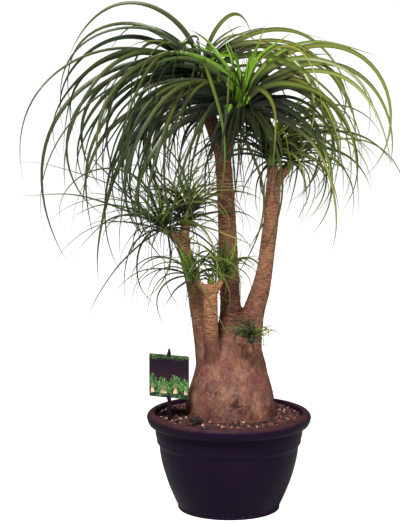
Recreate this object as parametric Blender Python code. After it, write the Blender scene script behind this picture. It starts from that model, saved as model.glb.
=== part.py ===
"""A potted ponytail palm: a branched house plant with a swollen foot, in a black nursery bowl with its label.

Metres, +Z up. The origin is the middle of the pot's flat underside. The label stands at -X, and -Y is the
front. The plant is one grown piece of wood, and each head of strap leaves is a piece of its own on a stem tip.
"""

import math
import random
from dataclasses import dataclass
from functools import partial

import bmesh
import bpy
from mathutils import Matrix, Vector, noise
from mathutils.bvhtree import BVHTree

# Driving dimensions
GAP = 0.0003
ROUND_SIDES = 32
POT_HEIGHT = 0.180
POT_RADIUS = 0.1505
FOOT_RADIUS = 0.0935
FOOT_HEIGHT = 0.006
WALL = 0.0024
FLOOR = 0.0034
DRAIN_HOLES = 5
DRAIN_RADIUS = 0.006
DRAIN_CIRCLE = 0.060
SOIL_AT_WALL = 0.1700
SOIL_AT_FOOT = 0.1765
SOIL_RELIEF = 0.0030
CHIPS_PER_METRE = 95
GRIT_PER_METRE = 160
CAUDEX_FLOOR = 0.062
SOIL_FIT = 0.0005
STEM_SIDES = 10
STEM_PITCH = 0.028

# The bowl's wall outside, from the foot to the underside of the rim: a curved bowl, a step and a plain band.
BOWL_TOP = 0.118
BOWL_RADIUS = 0.1275
BOWL_SWELL = 0.0345
BOWL_POWER = 1.6
BOWL_STATIONS = 5
STEP = (0.1322, 0.1255)
BAND = ((0.1347, 0.1400), (0.1362, 0.1545))

# The caudex, the swollen foot of the trunk: its radius at each height, and its (depth, count, turn, turn per
# metre up) lobes.
CAUDEX = (
    (0.062, 0.034), (0.075, 0.062), (0.100, 0.079), (0.135, 0.0870), (0.165, 0.0865), (0.188, 0.0830),
    (0.219, 0.0765), (0.248, 0.0684), (0.276, 0.0618), (0.298, 0.0558), (0.312, 0.0440), (0.320, 0.0240),
)
CAUDEX_LEAN = 0.0045
FLAT_FROM = 0.200
FLAT_TO = 0.310
FLATTENING = 0.36
CAUDEX_LOBES = ((0.020, 3, 0.7, 6), (0.013, 5, 0.0, -14))

# The label: a card held by a stake behind it, which hooks over its top edge and under its bottom edge.
CARD_WIDTH = 0.079
CARD_HEIGHT = 0.079
CARD_THICKNESS = 0.0010
CARD_CORNER = 0.003
CARD_BOTTOM = 0.2155
LABEL_PLACE = (-0.1085, -0.0460)
LABEL_YAW = math.radians(-24)
STAKE_WIDTH = 0.0075
STAKE_THICKNESS = 0.0030
STAKE_FOOT = 0.100
HOOK_REACH = 0.0030
HOOK_LIP = 0.0014
HOOK_GRIP = 0.0030

BARK_PLACE = (-0.0600, -0.0790, 0.1790)
BARK_SIZE = (0.0115, 0.0085, 0.0080)

# A blade: its keel's depth, and how its width grows from its base and runs out to its tip.
LEAF_KEEL = 0.0011
KEEL_SHARE = 0.36
BASE_WIDTH = 0.60
BASE_SHARE = 0.20
TIP_POWER = 1.9

# How a rosette grows: where its leaves root on the core, how they turn round it and how much they vary.
GOLDEN_ANGLE = math.pi * (3 - math.sqrt(5))
PATH_STEPS = 28
ROOT_REACH = (0.12, 0.45)
ROOT_HEIGHT = (0.90, 0.22)
YOUNG_SHARE = 0.30
YOUNG_POWER = 1.5
YOUNG_WIDTH = 0.85
OLD_SHORTER = 0.25
RISE_POWER = 1.5
LENGTHS = (0.75, 1.10)
WIDTHS = (0.45, 1.15)
HEADING_SWAY = 0.3
RISE_SWAY = 12.0
END_SWAY = 35.0
DRIFT = 0.6
TWIST = 0.9
STIFFNESS_SWAY = 0.35
STRAND_AGE = 0.30
STRAND_TWIST = 0.4

# How a leaf is bent clear of what stands round it: the gap it keeps, how often and how far it is turned.
LEAF_CLEARANCE = 0.0010
LEAF_FLOOR = 0.312
TRIES = 24
NUDGE = 0.03
NUDGE_LIFT = 15.0
STRAND_NUDGE = 0.5

# The core of a rosette: (share of its length, share of its radius) up its sides.
CORE_SIDES = 8
CORE_SHAPE = ((0, 0.92), (0.20, 1.10), (0.52, 1.00), (0.82, 0.66), (1.0, 0.32))


def material(name, colour, roughness, metallic=0.0):
    """A Principled material of one colour, made once."""
    made = bpy.data.materials.get(name) or bpy.data.materials.new(name)
    made.use_nodes = True
    shader = made.node_tree.nodes["Principled BSDF"]
    shader.inputs["Base Color"].default_value = (*colour, 1.0)
    shader.inputs["Roughness"].default_value = roughness
    shader.inputs["Metallic"].default_value = metallic
    return made


def add_object(name, mesh, finish, collection=None):
    """A mesh as a named object with its material."""
    made = bpy.data.objects.new(name, mesh)
    if finish is not None:
        mesh.materials.append(finish)
    (collection or bpy.context.scene.collection).objects.link(made)
    return made


def mesh_of(name, points, faces, smooth_angle=None):
    """A mesh of these points and faces, shaded smooth below an angle where one is given."""
    made = bpy.data.meshes.new(name)
    made.from_pydata([tuple(p) for p in points], [], faces)
    made.validate()
    if smooth_angle is not None:
        made.shade_smooth()
        made.set_sharp_from_angle(angle=math.radians(smooth_angle))
    return made


def between(pair, share):
    """The value a share of the way from the first of a pair to the second."""
    return pair[0] + (pair[1] - pair[0]) * share


def stacked(rings):
    """Points and faces of a closed solid through rings of points, each of equal count or one point for a pole.

    The rings run along the solid, and each is anticlockwise as seen from the end that they run towards.
    """
    points, faces, starts = [], [], []
    for ring in rings:
        starts.append(len(points))
        points.extend(ring)
    for (low, low_at), (high, high_at) in zip(zip(rings, starts), zip(rings[1:], starts[1:])):
        count = max(len(low), len(high))
        for i in range(count):
            j = (i + 1) % count
            corners = [low_at + i, low_at + j, high_at + j, high_at + i]
            if len(low) == 1:
                corners = [low_at, high_at + j, high_at + i]
            elif len(high) == 1:
                corners = [low_at + i, low_at + j, high_at]
            faces.append(corners)
    if len(rings[0]) > 1:
        faces.append(list(reversed(range(len(rings[0])))))
    if len(rings[-1]) > 1:
        faces.append(list(range(starts[-1], starts[-1] + len(rings[-1]))))
    return points, faces


def ring_at(radius, height, sides=ROUND_SIDES):
    """A level ring round the Z axis, or the one point of a pole."""
    if radius == 0:
        return [Vector((0, 0, height))]
    turns = (2 * math.pi * i / sides for i in range(sides))
    return [Vector((radius * math.cos(a), radius * math.sin(a), height)) for a in turns]


def joined(seed, collection, solver="EXACT"):
    """One Boolean union of the seed object with a collection's objects, applied; the collection is removed."""
    union = seed.modifiers.new("join", "BOOLEAN")
    union.operation = "UNION"
    union.operand_type = "COLLECTION"
    union.collection = collection
    union.solver = solver
    return applied(seed, collection.objects, collection)


def cut(target, cutters, solver="EXACT"):
    """The target with each cutter taken out of it, applied; the cutters are removed."""
    for cutter in cutters:
        difference = target.modifiers.new("cut", "BOOLEAN")
        difference.operation = "DIFFERENCE"
        difference.object = cutter
        difference.solver = solver
    return applied(target, cutters)


def applied(target, helpers, collection=None):
    """The target's evaluated mesh in place of its modifiers, with the helper objects removed."""
    graph = bpy.context.evaluated_depsgraph_get()
    result = bpy.data.meshes.new_from_object(target.evaluated_get(graph))
    target.modifiers.clear()
    target.data = result
    for helper in list(helpers):
        bpy.data.objects.remove(helper)
    if collection:
        bpy.data.collections.remove(collection)
    return target


# ---------------------------------------------------------------- pot


def bowl_radius(height):
    """The bowl's outer radius below the step."""
    share = (BOWL_TOP - height) / (BOWL_TOP - FOOT_HEIGHT)
    return BOWL_RADIUS - BOWL_SWELL * share**BOWL_POWER


def inner_wall():
    """The pot's inner wall, from the floor up: (radius, height) points."""
    heights = [FOOT_HEIGHT + (BOWL_TOP - FOOT_HEIGHT) * share for share in (0.04, 0.45, 1.0)]
    bowl = [(bowl_radius(z) - WALL, z) for z in heights]
    upper = [(r - WALL, z + WALL / 2) for r, z in (STEP, *BAND)]
    return [(bowl[0][0] - 0.003, FLOOR), *bowl, *upper]


def rim_curl():
    """The rolled rim's section, from the wall's top outside, under and over the roll, to the inside of the wall."""
    wall_radius, wall_top = BAND[-1]
    under = [
        (wall_radius + 0.0010, wall_top + 0.0150),
        (wall_radius + 0.0050, wall_top + 0.0185),
        (POT_RADIUS - 0.0045, wall_top + 0.0170),
        (POT_RADIUS - 0.0075, wall_top + 0.0045),
        (POT_RADIUS - 0.0060, wall_top + 0.0030),
        (POT_RADIUS - 0.0018, wall_top + 0.0085),
    ]
    middle = (POT_RADIUS - 0.0100, POT_HEIGHT - 0.0095)
    over = []
    for turn in (0, 30, 60, 90, 120):
        angle = math.radians(turn)
        over.append((middle[0] + 0.0100 * math.cos(angle), middle[1] + 0.0095 * math.sin(angle)))
    return [*under, *over, (wall_radius - WALL + 0.0004, POT_HEIGHT - 0.0060)]


def build_pot():
    """The bowl: floor with drain holes, curved wall, step, band and a rolled rim with a hollow underside."""
    bowl = []
    for station in range(BOWL_STATIONS):
        height = FOOT_HEIGHT + 0.002 + (BOWL_TOP - FOOT_HEIGHT - 0.002) * station / (BOWL_STATIONS - 1)
        bowl.append((bowl_radius(height), height))
    foot = [(0, 0), (FOOT_RADIUS - 0.0015, 0), (FOOT_RADIUS, 0.0015), (FOOT_RADIUS, FOOT_HEIGHT)]
    inside = list(reversed(inner_wall()))
    outline = [*foot, *bowl, STEP, *BAND, *rim_curl(), *inside, (0, FLOOR)]
    points, faces = stacked([ring_at(r, z) for r, z in outline])
    pot = add_object(
        "pot", mesh_of("pot", points, faces, 35), material("pot black", (0.018, 0.017, 0.024), 0.45)
    )
    drills = []
    for hole in range(DRAIN_HOLES):
        angle = 2 * math.pi * (hole + 0.5) / DRAIN_HOLES
        centre = Vector((DRAIN_CIRCLE * math.cos(angle), DRAIN_CIRCLE * math.sin(angle), 0))
        rings = [[p + centre for p in ring_at(DRAIN_RADIUS, z, 8)] for z in (-0.01, 0.02)]
        drill = add_object(f"drill_{hole}", mesh_of("drill", *stacked(rings)), None)
        drill.hide_render = True
        drills.append(drill)
    cut(pot, drills, "MANIFOLD")


# ---------------------------------------------------------------- trunk


def radius_at(stations, height):
    """The radius at a height, on straight lines between (height, radius) stations."""
    for (low, low_radius), (high, high_radius) in zip(stations, stations[1:]):
        if height <= high:
            return between((low_radius, high_radius), max(0.0, (height - low) / (high - low)))
    return stations[-1][1]


def caudex_ring(height, grow=0.0):
    """A ring of the caudex's outline at a height, grown outwards: lobed, and flatter from front to back higher up."""
    base = radius_at(CAUDEX, height)
    middle = Vector((CAUDEX_LEAN, 0, height))
    depth = 1 - FLATTENING * min(1.0, max(0.0, (height - FLAT_FROM) / (FLAT_TO - FLAT_FROM)))
    ring = []
    for i in range(ROUND_SIDES):
        angle = 2 * math.pi * i / ROUND_SIDES
        lobes = (size * math.cos(count * angle + turn + wind * height) for size, count, turn, wind in CAUDEX_LOBES)
        reach = base * (1 + sum(lobes)) + grow
        ring.append(middle + Vector((reach * math.cos(angle), reach * depth * math.sin(angle), 0)))
    return ring


def caudex_rings():
    """The caudex from its rounded floor to its top, which the stems cover."""
    heights = [height for height, _ in CAUDEX]
    bottom = Vector((CAUDEX_LEAN, 0, heights[0] - 0.004))
    top = Vector((CAUDEX_LEAN, 0, heights[-1] + 0.002))
    return [[bottom], *[caudex_ring(height) for height in heights], [top]]


@dataclass(frozen=True)
class Stem:
    """A stem or branch: (x, y, z, radius) stations from its root inside the wood to its flat tip."""

    name: str
    way: tuple

    def stations(self, pitch):
        """Points with radii along the stem on a smooth curve through its stations, about a pitch apart."""
        way = [Vector(p) for p in self.way]
        padded = [2 * way[0] - way[1], *way, 2 * way[-1] - way[-2]]
        found = []
        for a, b, c, d in zip(padded, padded[1:], padded[2:], padded[3:]):
            pieces = max(1, round((c - b).xyz.length / pitch))
            for k in range(pieces):
                t = k / pieces
                found.append(
                    0.5 * (2 * b + (c - a) * t + (2 * a - 5 * b + 4 * c - d) * t**2
                           + (3 * b - a - 3 * c + d) * t**3)
                )
        return [*found, way[-1]]

    def tip(self):
        """(point, direction, radius) of the tip."""
        last, before = Vector(self.way[-1]), Vector(self.way[-2])
        return last.xyz, (last - before).xyz.normalized(), last.w

    def rings(self):
        """The stem's rings, from its root to its tip."""
        stations = self.stations(STEM_PITCH)
        rings = []
        side = Vector((0, 1, 0))
        for k, station in enumerate(stations):
            ahead = stations[min(k + 1, len(stations) - 1)]
            behind = stations[max(k - 1, 0)]
            along = self.tip()[1] if k == len(stations) - 1 else (ahead - behind).xyz.normalized()
            side = (side - along * side.dot(along)).normalized()
            across = along.cross(side)
            turns = (2 * math.pi * i / STEM_SIDES for i in range(STEM_SIDES))
            rings.append(
                [station.xyz + station.w * (math.cos(a) * side + math.sin(a) * across) for a in turns]
            )
        return rings


STEMS = (
    Stem("left", (
        (-0.0340, 0.004, 0.262, 0.0270), (-0.0405, 0.004, 0.305, 0.0235), (-0.0500, 0.003, 0.350, 0.0192),
        (-0.0560, 0.003, 0.372, 0.0168), (-0.0620, 0.002, 0.405, 0.0150), (-0.0735, 0.000, 0.451, 0.0134),
        (-0.0815, 0.000, 0.480, 0.0126), (-0.0836, 0.000, 0.496, 0.0118),
    )),
    Stem("left_upper", (
        (-0.0834, 0.000, 0.486, 0.0112), (-0.0815, 0.002, 0.508, 0.0100), (-0.0785, 0.005, 0.524, 0.0092),
    )),
    Stem("left_outer", (
        (-0.0820, 0.000, 0.484, 0.0104), (-0.0940, -0.004, 0.500, 0.0096), (-0.1080, -0.010, 0.511, 0.0088),
    )),
    Stem("centre", (
        (0.0000, 0.010, 0.262, 0.0420), (0.0025, 0.012, 0.302, 0.0340), (0.0030, 0.012, 0.332, 0.0255),
        (0.0030, 0.012, 0.368, 0.0200), (0.0012, 0.012, 0.405, 0.0187), (-0.0020, 0.011, 0.478, 0.0178),
        (-0.0060, 0.010, 0.569, 0.0161), (-0.0108, 0.010, 0.633, 0.0153), (-0.0130, 0.010, 0.662, 0.0150),
    )),
    Stem("back_head", (
        (-0.0125, 0.010, 0.650, 0.0142), (-0.0270, 0.017, 0.692, 0.0136), (-0.0400, 0.024, 0.732, 0.0132),
        (-0.0480, 0.030, 0.772, 0.0130),
    )),
    Stem("front_head", (
        (-0.0125, 0.010, 0.648, 0.0142), (-0.0010, -0.006, 0.684, 0.0136), (0.0140, -0.022, 0.718, 0.0134),
    )),
    Stem("right", (
        (0.0300, 0.006, 0.262, 0.0310), (0.0340, 0.006, 0.308, 0.0270), (0.0400, 0.005, 0.342, 0.0228),
        (0.0462, 0.004, 0.370, 0.0202), (0.0570, 0.004, 0.405, 0.0178), (0.0645, 0.004, 0.4415, 0.0150),
        (0.0690, 0.004, 0.478, 0.0146), (0.0755, 0.004, 0.533, 0.0142), (0.0785, 0.004, 0.578, 0.0142),
        (0.0800, 0.004, 0.604, 0.0136),
    )),
    Stem("right_head", (
        (0.0797, 0.004, 0.594, 0.0124), (0.0785, 0.002, 0.616, 0.0115), (0.0768, 0.000, 0.632, 0.0110),
    )),
    Stem("right_outer", (
        (0.0795, 0.004, 0.592, 0.0106), (0.0910, 0.008, 0.610, 0.0098), (0.1030, 0.013, 0.624, 0.0092),
    )),
    Stem("stub", (
        (-0.0260, -0.0120, 0.262, 0.0200), (-0.0300, -0.0320, 0.300, 0.0165),
        (-0.0330, -0.0462, 0.335, 0.0140), (-0.0338, -0.0505, 0.385, 0.0130), (-0.0335, -0.0505, 0.424, 0.0124),
    )),
    Stem("stub_left", (
        (-0.0360, -0.0510, 0.404, 0.0072), (-0.0470, -0.0520, 0.4165, 0.0064), (-0.0590, -0.0500, 0.4300, 0.0060),
    )),
    Stem("stub_right", (
        (-0.0310, -0.0510, 0.405, 0.0072), (-0.0215, -0.0520, 0.4175, 0.0064), (-0.0150, -0.0505, 0.4320, 0.0060),
    )),
    Stem("sprout", (
        (0.0280, -0.0300, 0.290, 0.0110), (0.0360, -0.0500, 0.308, 0.0088), (0.0385, -0.0590, 0.322, 0.0070),
    )),
)


def build_trunk():
    """The caudex with all its stems and branches, which grew as one piece."""
    bark = material("bark", (0.30, 0.19, 0.12), 0.85)
    trunk = add_object("trunk", mesh_of("trunk", *stacked(caudex_rings())), bark)
    parts = bpy.data.collections.new("stems")
    bpy.context.scene.collection.children.link(parts)
    for stem in STEMS:
        add_object(f"stem_{stem.name}", mesh_of(stem.name, *stacked(stem.rings())), bark, parts)
    joined(trunk, parts)
    trunk.data.shade_smooth()
    trunk.data.set_sharp_from_angle(angle=math.radians(50))


# ---------------------------------------------------------------- soil, bark and label


def bark_chunk_mesh(grow=0.0):
    """A lump of bark: a rough block with its corners knocked off, grown outwards by a margin."""
    lump = bmesh.new()
    bmesh.ops.create_icosphere(lump, subdivisions=1, radius=1.0)
    for vert in lump.verts:
        rough = 1 + 0.16 * noise.noise(vert.co * 1.7 + Vector((3.1, 0.4, 7.7)))
        squared = Vector([math.copysign(abs(c) ** 0.7, c) for c in vert.co])
        size = Vector(BARK_SIZE) + Vector((grow,) * 3)
        vert.co = Vector([c * s * rough for c, s in zip(squared, size)])
    bmesh.ops.convex_hull(lump, input=lump.verts)
    made = bpy.data.meshes.new("bark_chunk")
    lump.to_mesh(made)
    lump.free()
    made.transform(Matrix.Translation(BARK_PLACE) @ Matrix.Rotation(0.6, 4, "Z") @ Matrix.Rotation(0.35, 4, "X"))
    return made


def soil_height(point):
    """The soil's surface: a shallow mound towards the trunk, rough with chips of bark raised on it."""
    reach = point.xy.length
    share = min(1.0, max(0.0, (BAND[-1][0] - reach) / (BAND[-1][0] - 0.086)))
    mound = SOIL_AT_WALL + (SOIL_AT_FOOT - SOIL_AT_WALL) * share
    chip = noise.cell(Vector((point.x, point.y, 0)) * CHIPS_PER_METRE)
    grit = noise.noise(Vector((point.x, point.y, 0)) * GRIT_PER_METRE)
    return mound + SOIL_RELIEF * (0.7 * chip - 0.25 + 0.3 * grit)


def build_soil():
    """The potting mix: it fills the pot, with a plain hole that the caudex stands in."""
    wall = [(r - GAP, z + GAP) for r, z in inner_wall()]
    wall = [p for p in wall if p[1] < SOIL_AT_WALL - 0.006]
    wall_top = (BAND[-1][0] - WALL - GAP - 0.0004, SOIL_AT_WALL)
    rings = [ring_at(0, FLOOR + GAP), *[ring_at(r, z) for r, z in wall], ring_at(*wall_top)]
    hole_edge = caudex_ring(SOIL_AT_FOOT - 2 * SOIL_RELIEF, SOIL_FIT)
    outer = [p.copy() for p in rings[-1]]
    surface = []
    for share in (0.05, 0.35, 0.70, 1.0):
        ring = [o.lerp(i, share) for o, i in zip(outer, hole_edge)]
        for p in ring:
            p.z = soil_height(p)
        surface.append(ring)
    hole_heights = [z for z, _ in CAUDEX if z < SOIL_AT_WALL - 0.004]
    hole = [caudex_ring(z, SOIL_FIT) for z in reversed(hole_heights)]
    bottom = [Vector((CAUDEX_LEAN, 0, hole_heights[0] - 0.004 - SOIL_FIT))]
    for p in hole[-1]:
        p.z -= SOIL_FIT
    rings = [*rings, *surface, *hole, bottom]
    mix = material("potting mix", (0.055, 0.030, 0.020), 0.95)
    soil = add_object("soil", mesh_of("soil", *stacked(rings)), mix)
    bark_hole = add_object("bark_hole", bark_chunk_mesh(SOIL_FIT), None)
    stake_hole = add_object("stake_hole", stake_mesh(SOIL_FIT), None)
    for cutter in (bark_hole, stake_hole):
        cutter.hide_render = True
    cut(soil, [bark_hole, stake_hole])
    add_object("bark_chunk", bark_chunk_mesh(), material("bark lump", (0.020, 0.014, 0.013), 0.9))


def extruded(outline, low, high):
    """Points and faces of a (y, z) outline, anticlockwise seen from +X, drawn out along X from low to high."""
    count = len(outline)
    points = [Vector((x, y, z)) for x in (low, high) for y, z in outline]
    faces = [list(reversed(range(count))), list(range(count, 2 * count))]
    for i in range(count):
        j = (i + 1) % count
        faces.append([i, j, count + j, count + i])
    return points, faces


def to_label_place(mesh):
    """The mesh moved from the label's own frame to where the label stands, turned to face front left."""
    mesh.transform(Matrix.Translation((*LABEL_PLACE, 0)) @ Matrix.Rotation(LABEL_YAW, 4, "Z"))
    return mesh


def stake_mesh(grow=0.0):
    """The stake: a strip with a pointed foot, and a hook above and below the card, open towards each other."""
    back, front = STAKE_THICKNESS + grow, -grow
    low, high = CARD_BOTTOM - GAP, CARD_BOTTOM + CARD_HEIGHT + GAP
    lip = -(CARD_THICKNESS + 2 * GAP)
    face = lip - HOOK_LIP
    outline = [
        (front, STAKE_FOOT + 0.012), (front + (back - front) / 2, STAKE_FOOT - grow), (back, STAKE_FOOT + 0.012),
        (back, high + 0.0055), (back - 0.0012, high + 0.0075), (face + 0.0012, high + 0.0075),
        (face, high + 0.0055), (face, high - HOOK_GRIP), (lip, high - HOOK_GRIP), (lip, high),
        (front, high), (front, low), (lip, low), (lip, low + HOOK_GRIP), (face, low + HOOK_GRIP),
        (face, low - HOOK_REACH + 0.001), (face + 0.001, low - HOOK_REACH), (front, low - HOOK_REACH),
    ]
    points, faces = extruded(outline, -STAKE_WIDTH / 2 - grow, STAKE_WIDTH / 2 + grow)
    return to_label_place(mesh_of("label_stake", points, faces))


def build_label():
    """The card and the stake that holds it."""
    outline = []
    for x_sign, z_sign, first in ((1, -1, -90), (1, 1, 0), (-1, 1, 90), (-1, -1, 180)):
        middle_x = x_sign * (CARD_WIDTH / 2 - CARD_CORNER)
        middle_z = CARD_BOTTOM + CARD_HEIGHT / 2 + z_sign * (CARD_HEIGHT / 2 - CARD_CORNER)
        for turn in (0, 45, 90):
            angle = math.radians(first + turn)
            outline.append(
                (middle_x + CARD_CORNER * math.cos(angle), middle_z + CARD_CORNER * math.sin(angle))
            )
    rings = [[Vector((x, y, z)) for x, z in outline] for y in (-GAP, -GAP - CARD_THICKNESS)]
    card = to_label_place(mesh_of("label_card", *stacked(rings)))
    add_object("label_card", card, material("label card", (0.05, 0.03, 0.045), 0.4))
    add_object("label_stake", stake_mesh(), material("stake black", (0.02, 0.02, 0.035), 0.4))


# ---------------------------------------------------------------- leaves


@dataclass(frozen=True)
class Rosette:
    """A head of strap leaves on a stem tip.

    Pairs hold the value for the innermost and the outermost leaves. rise and end are the angles above level
    at which a leaf starts and ends, in degrees. lean is the compass direction that the leaves are drawn to,
    by the share in pull. front and back shorten those that face the front and the back. loose is how unevenly
    they lie. core is the bud's length and its girth as a share of the stem's. strands are the leaves that
    stand out of the head, each as (heading, rise, end, stiffness, length).
    """

    name: str
    stem: str
    leaves: int
    length: tuple
    width: float
    rise: tuple
    end: tuple
    lean: float
    pull: float
    front: float
    back: float
    loose: float
    core: tuple
    steps: int
    strands: tuple = ()


ROSETTES = (
    Rosette("crown_front", "front_head", 50, (0.085, 0.465), 0.0110, (87, 4), (88, -121), -150, 0.18, 0.13,
            0.30, 0.67, (0.034, 1.00), 7, ((0, 80, -138, 1.0, 0.50), (8, 62, -105, 1.0, 0.42))),
    Rosette("crown_back", "back_head", 48, (0.072, 0.527), 0.0100, (65, -23), (14, -131), 195, 0.41, 0.00,
            0.30, 0.80, (0.032, 1.00), 7,
            ((180, 92, -78, 1.0, 0.31), (-4, 78, -85, 1.0, 0.17), (184, 40, -125, 0.75, 0.58))),
    Rosette("crown_right", "right_head", 26, (0.126, 0.271), 0.0070, (86, 35), (30, -85), -13, 0.27, 0.30,
            0.30, 0.60, (0.034, 0.95), 6),
    Rosette("crown_right_fine", "right_outer", 16, (0.09, 0.16), 0.0040, (84, 18), (45, -108), -13, 0.22,
            0.10, 0.30, 1.66, (0.026, 0.75), 5, ((-10, 50, -95, 1.0, 0.30),)),
    Rosette("crown_left", "left_outer", 24, (0.097, 0.338), 0.0042, (84, -23), (43, -56), 255, 0.06, 0.10,
            0.30, 2.10, (0.028, 0.85), 5, ((178, 30, -4, 1.0, 0.27),)),
    Rosette("crown_left_upper", "left_upper", 20, (0.07, 0.12), 0.0042, (86, 15), (52, -77), 47, 0.05, 0.10,
            0.30, 1.15, (0.028, 0.85), 5),
    Rosette("tuft_left_stem", "stub_left", 12, (0.06, 0.23), 0.0042, (80, -14), (50, -92), 203, 0.49, 0.30,
            0.30, 1.70, (0.022, 0.90), 5),
    Rosette("tuft_centre_stem", "stub_right", 13, (0.067, 0.148), 0.0040, (88, 18), (95, -99), 118, 0.56,
            0.20, 0.30, 1.69, (0.022, 0.90), 5),
    Rosette("tuft_stub", "stub", 7, (0.03, 0.075), 0.0036, (85, 40), (40, -60), 90, 0.10, 0.20, 0.00, 1.20,
            (0.014, 0.50), 5),
    Rosette("tuft_base", "sprout", 12, (0.025, 0.062), 0.0032, (85, 10), (20, -110), 165, 0.50, 0.10, 0.00,
            2.20, (0.014, 0.90), 5),
)


@dataclass(frozen=True)
class Leaf:
    """One strap leaf: the points along it, the direction across it at each, and its greatest width."""

    points: tuple
    across: tuple
    width: float

    def half_at(self, share):
        """Half the leaf's width at a share of its length."""
        return 0.5 * self.width * between((BASE_WIDTH, 1), min(1, share / BASE_SHARE)) * (1 - share**TIP_POWER)

    def solid(self, steps, margin=0.0):
        """Points and faces of the leaf: three-sided, flat above and keeled below, drawn out to a point."""
        stride = PATH_STEPS // steps
        last = len(self.points) - 1
        rings = []
        for at in range(0, steps * stride, stride):
            share = at / last
            half = self.half_at(share) + margin
            along = (self.points[at + 1] - self.points[max(at - 1, 0)]).normalized()
            under = self.across[at].cross(along)
            keel = max(LEAF_KEEL, KEEL_SHARE * half) + margin
            point = self.points[at] - margin * under
            rings.append([point + self.across[at] * half, point - self.across[at] * half, point + keel * under])
        return stacked([*rings, [self.points[last]]])


def tip_of(rosette):
    """(point, direction, radius) of the stem tip that a rosette stands on."""
    return next(stem for stem in STEMS if stem.name == rosette.stem).tip()


def root_of(rosette, age, heading):
    """Where a leaf of an age, facing a heading, leaves its rosette's core."""
    base, aim, radius = tip_of(rosette)
    outwards = Vector((math.cos(heading), math.sin(heading), 0))
    reach = radius * rosette.core[1] * between(ROOT_REACH, age)
    return base + aim * (GAP + rosette.core[0] * between(ROOT_HEIGHT, age)) + outwards * reach


def arched(point, heading, drift, rise, end, stiffness, length, twist):
    """The points along a leaf that rises and arches over, and the directions across it.

    drift is how far it turns aside by its tip and twist how far its blade turns, both in radians. With a
    stiffness below 1 it bends early, above 1 late.
    """
    points, across = [point], []
    for k in range(PATH_STEPS):
        share = (k + 0.5) / PATH_STEPS
        pitch = math.radians(between((rise, end), share**stiffness))
        yaw = heading + drift * share
        level = Vector((math.cos(yaw), math.sin(yaw), 0))
        along = level * math.cos(pitch) + Vector((0, 0, math.sin(pitch)))
        side = Vector((0, 0, 1)).cross(level)
        across.append(Matrix.Rotation(twist * share, 3, along) @ side)
        point = point + along * length / PATH_STEPS
        points.append(point)
    across.append(across[-1])
    return tuple(points), tuple(across)


def leaf_of(rosette, index, attempt):
    """The leaf that a rosette grows at an index, from the innermost; each attempt turns it a little further."""
    chance = random.Random(f"{rosette.name}/{index}")
    age = (index + 0.5) / rosette.leaves
    grown = min(1.0, age / YOUNG_SHARE) ** YOUNG_POWER
    heading = index * GOLDEN_ANGLE + HEADING_SWAY * chance.uniform(-1, 1)
    heading += rosette.pull * math.sin(math.radians(rosette.lean) - heading)
    rise = between(rosette.rise, age**RISE_POWER) + RISE_SWAY * rosette.loose * chance.uniform(-1, 1)
    end = between(rosette.end, grown) + END_SWAY * rosette.loose * chance.uniform(-1, 1)
    length = between(rosette.length, grown * (1 - OLD_SHORTER * age)) * chance.uniform(*LENGTHS)
    length *= 1 - rosette.front * max(0.0, -math.sin(heading)) ** 2
    length *= 1 - rosette.back * max(0.0, math.sin(heading)) ** 2
    drift = DRIFT * rosette.loose * chance.uniform(-1, 1)
    twist = TWIST * chance.uniform(-1, 1)
    stiffness = 1 + STIFFNESS_SWAY * rosette.loose * chance.uniform(-1, 1)
    width = rosette.width * chance.uniform(*WIDTHS) * between((YOUNG_WIDTH, 1), grown)
    nudge = NUDGE * attempt * random.Random(f"{rosette.name}/{index}/{attempt}").uniform(-1, 1)
    heading += nudge
    rise += NUDGE_LIFT * nudge
    course = arched(root_of(rosette, age, heading), heading, drift, rise, end, stiffness, length, twist)
    return Leaf(*course, width)


def strand_of(rosette, index, attempt):
    """A leaf that stands out of its rosette; each attempt turns it a little further."""
    heading, rise, end, stiffness, length = rosette.strands[index]
    turned = math.radians(heading) + STRAND_NUDGE * NUDGE * attempt * (-1) ** attempt
    course = arched(root_of(rosette, STRAND_AGE, turned), turned, 0, rise, end, stiffness, length, STRAND_TWIST)
    return Leaf(*course, rosette.width)


def tree_of(solids):
    """A search tree over several (points, faces) solids."""
    points, faces = [], []
    for some_points, some_faces in solids:
        start = len(points)
        points.extend(some_points)
        faces.extend([[start + i for i in face] for face in some_faces])
    return BVHTree.FromPolygons(points, faces)


def core_solid(rosette):
    """The head's core, where the leaf bases wrap each other: a bud that stands on the stem tip."""
    base, aim, radius = tip_of(rosette)
    side = (Vector((0, 1, 0)) - aim * aim.y).normalized()
    across = aim.cross(side)
    length, girth = rosette.core
    rings = []
    for share, swell in CORE_SHAPE:
        middle = base + aim * (GAP + length * share)
        reach = radius * girth * swell
        turns = (2 * math.pi * i / CORE_SIDES for i in range(CORE_SIDES))
        rings.append([middle + reach * (math.cos(a) * side + math.sin(a) * across) for a in turns])
    return stacked(rings)


def grow(rosette, neighbours):
    """The rosette's leaves as solids, each the first attempt that clears the neighbours and the ground.

    A leaf with no such attempt isn't grown.
    """
    growers = [partial(strand_of, rosette, index) for index in range(len(rosette.strands))]
    growers += [partial(leaf_of, rosette, index) for index in range(rosette.leaves)]
    grown = []
    for grower in growers:
        for attempt in range(TRIES):
            leaf = grower(attempt)
            if min(point.z for point in leaf.points) < LEAF_FLOOR:
                continue
            if not tree_of([leaf.solid(rosette.steps, LEAF_CLEARANCE)]).overlap(neighbours):
                grown.append(leaf.solid(rosette.steps))
                break
    return grown


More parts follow.
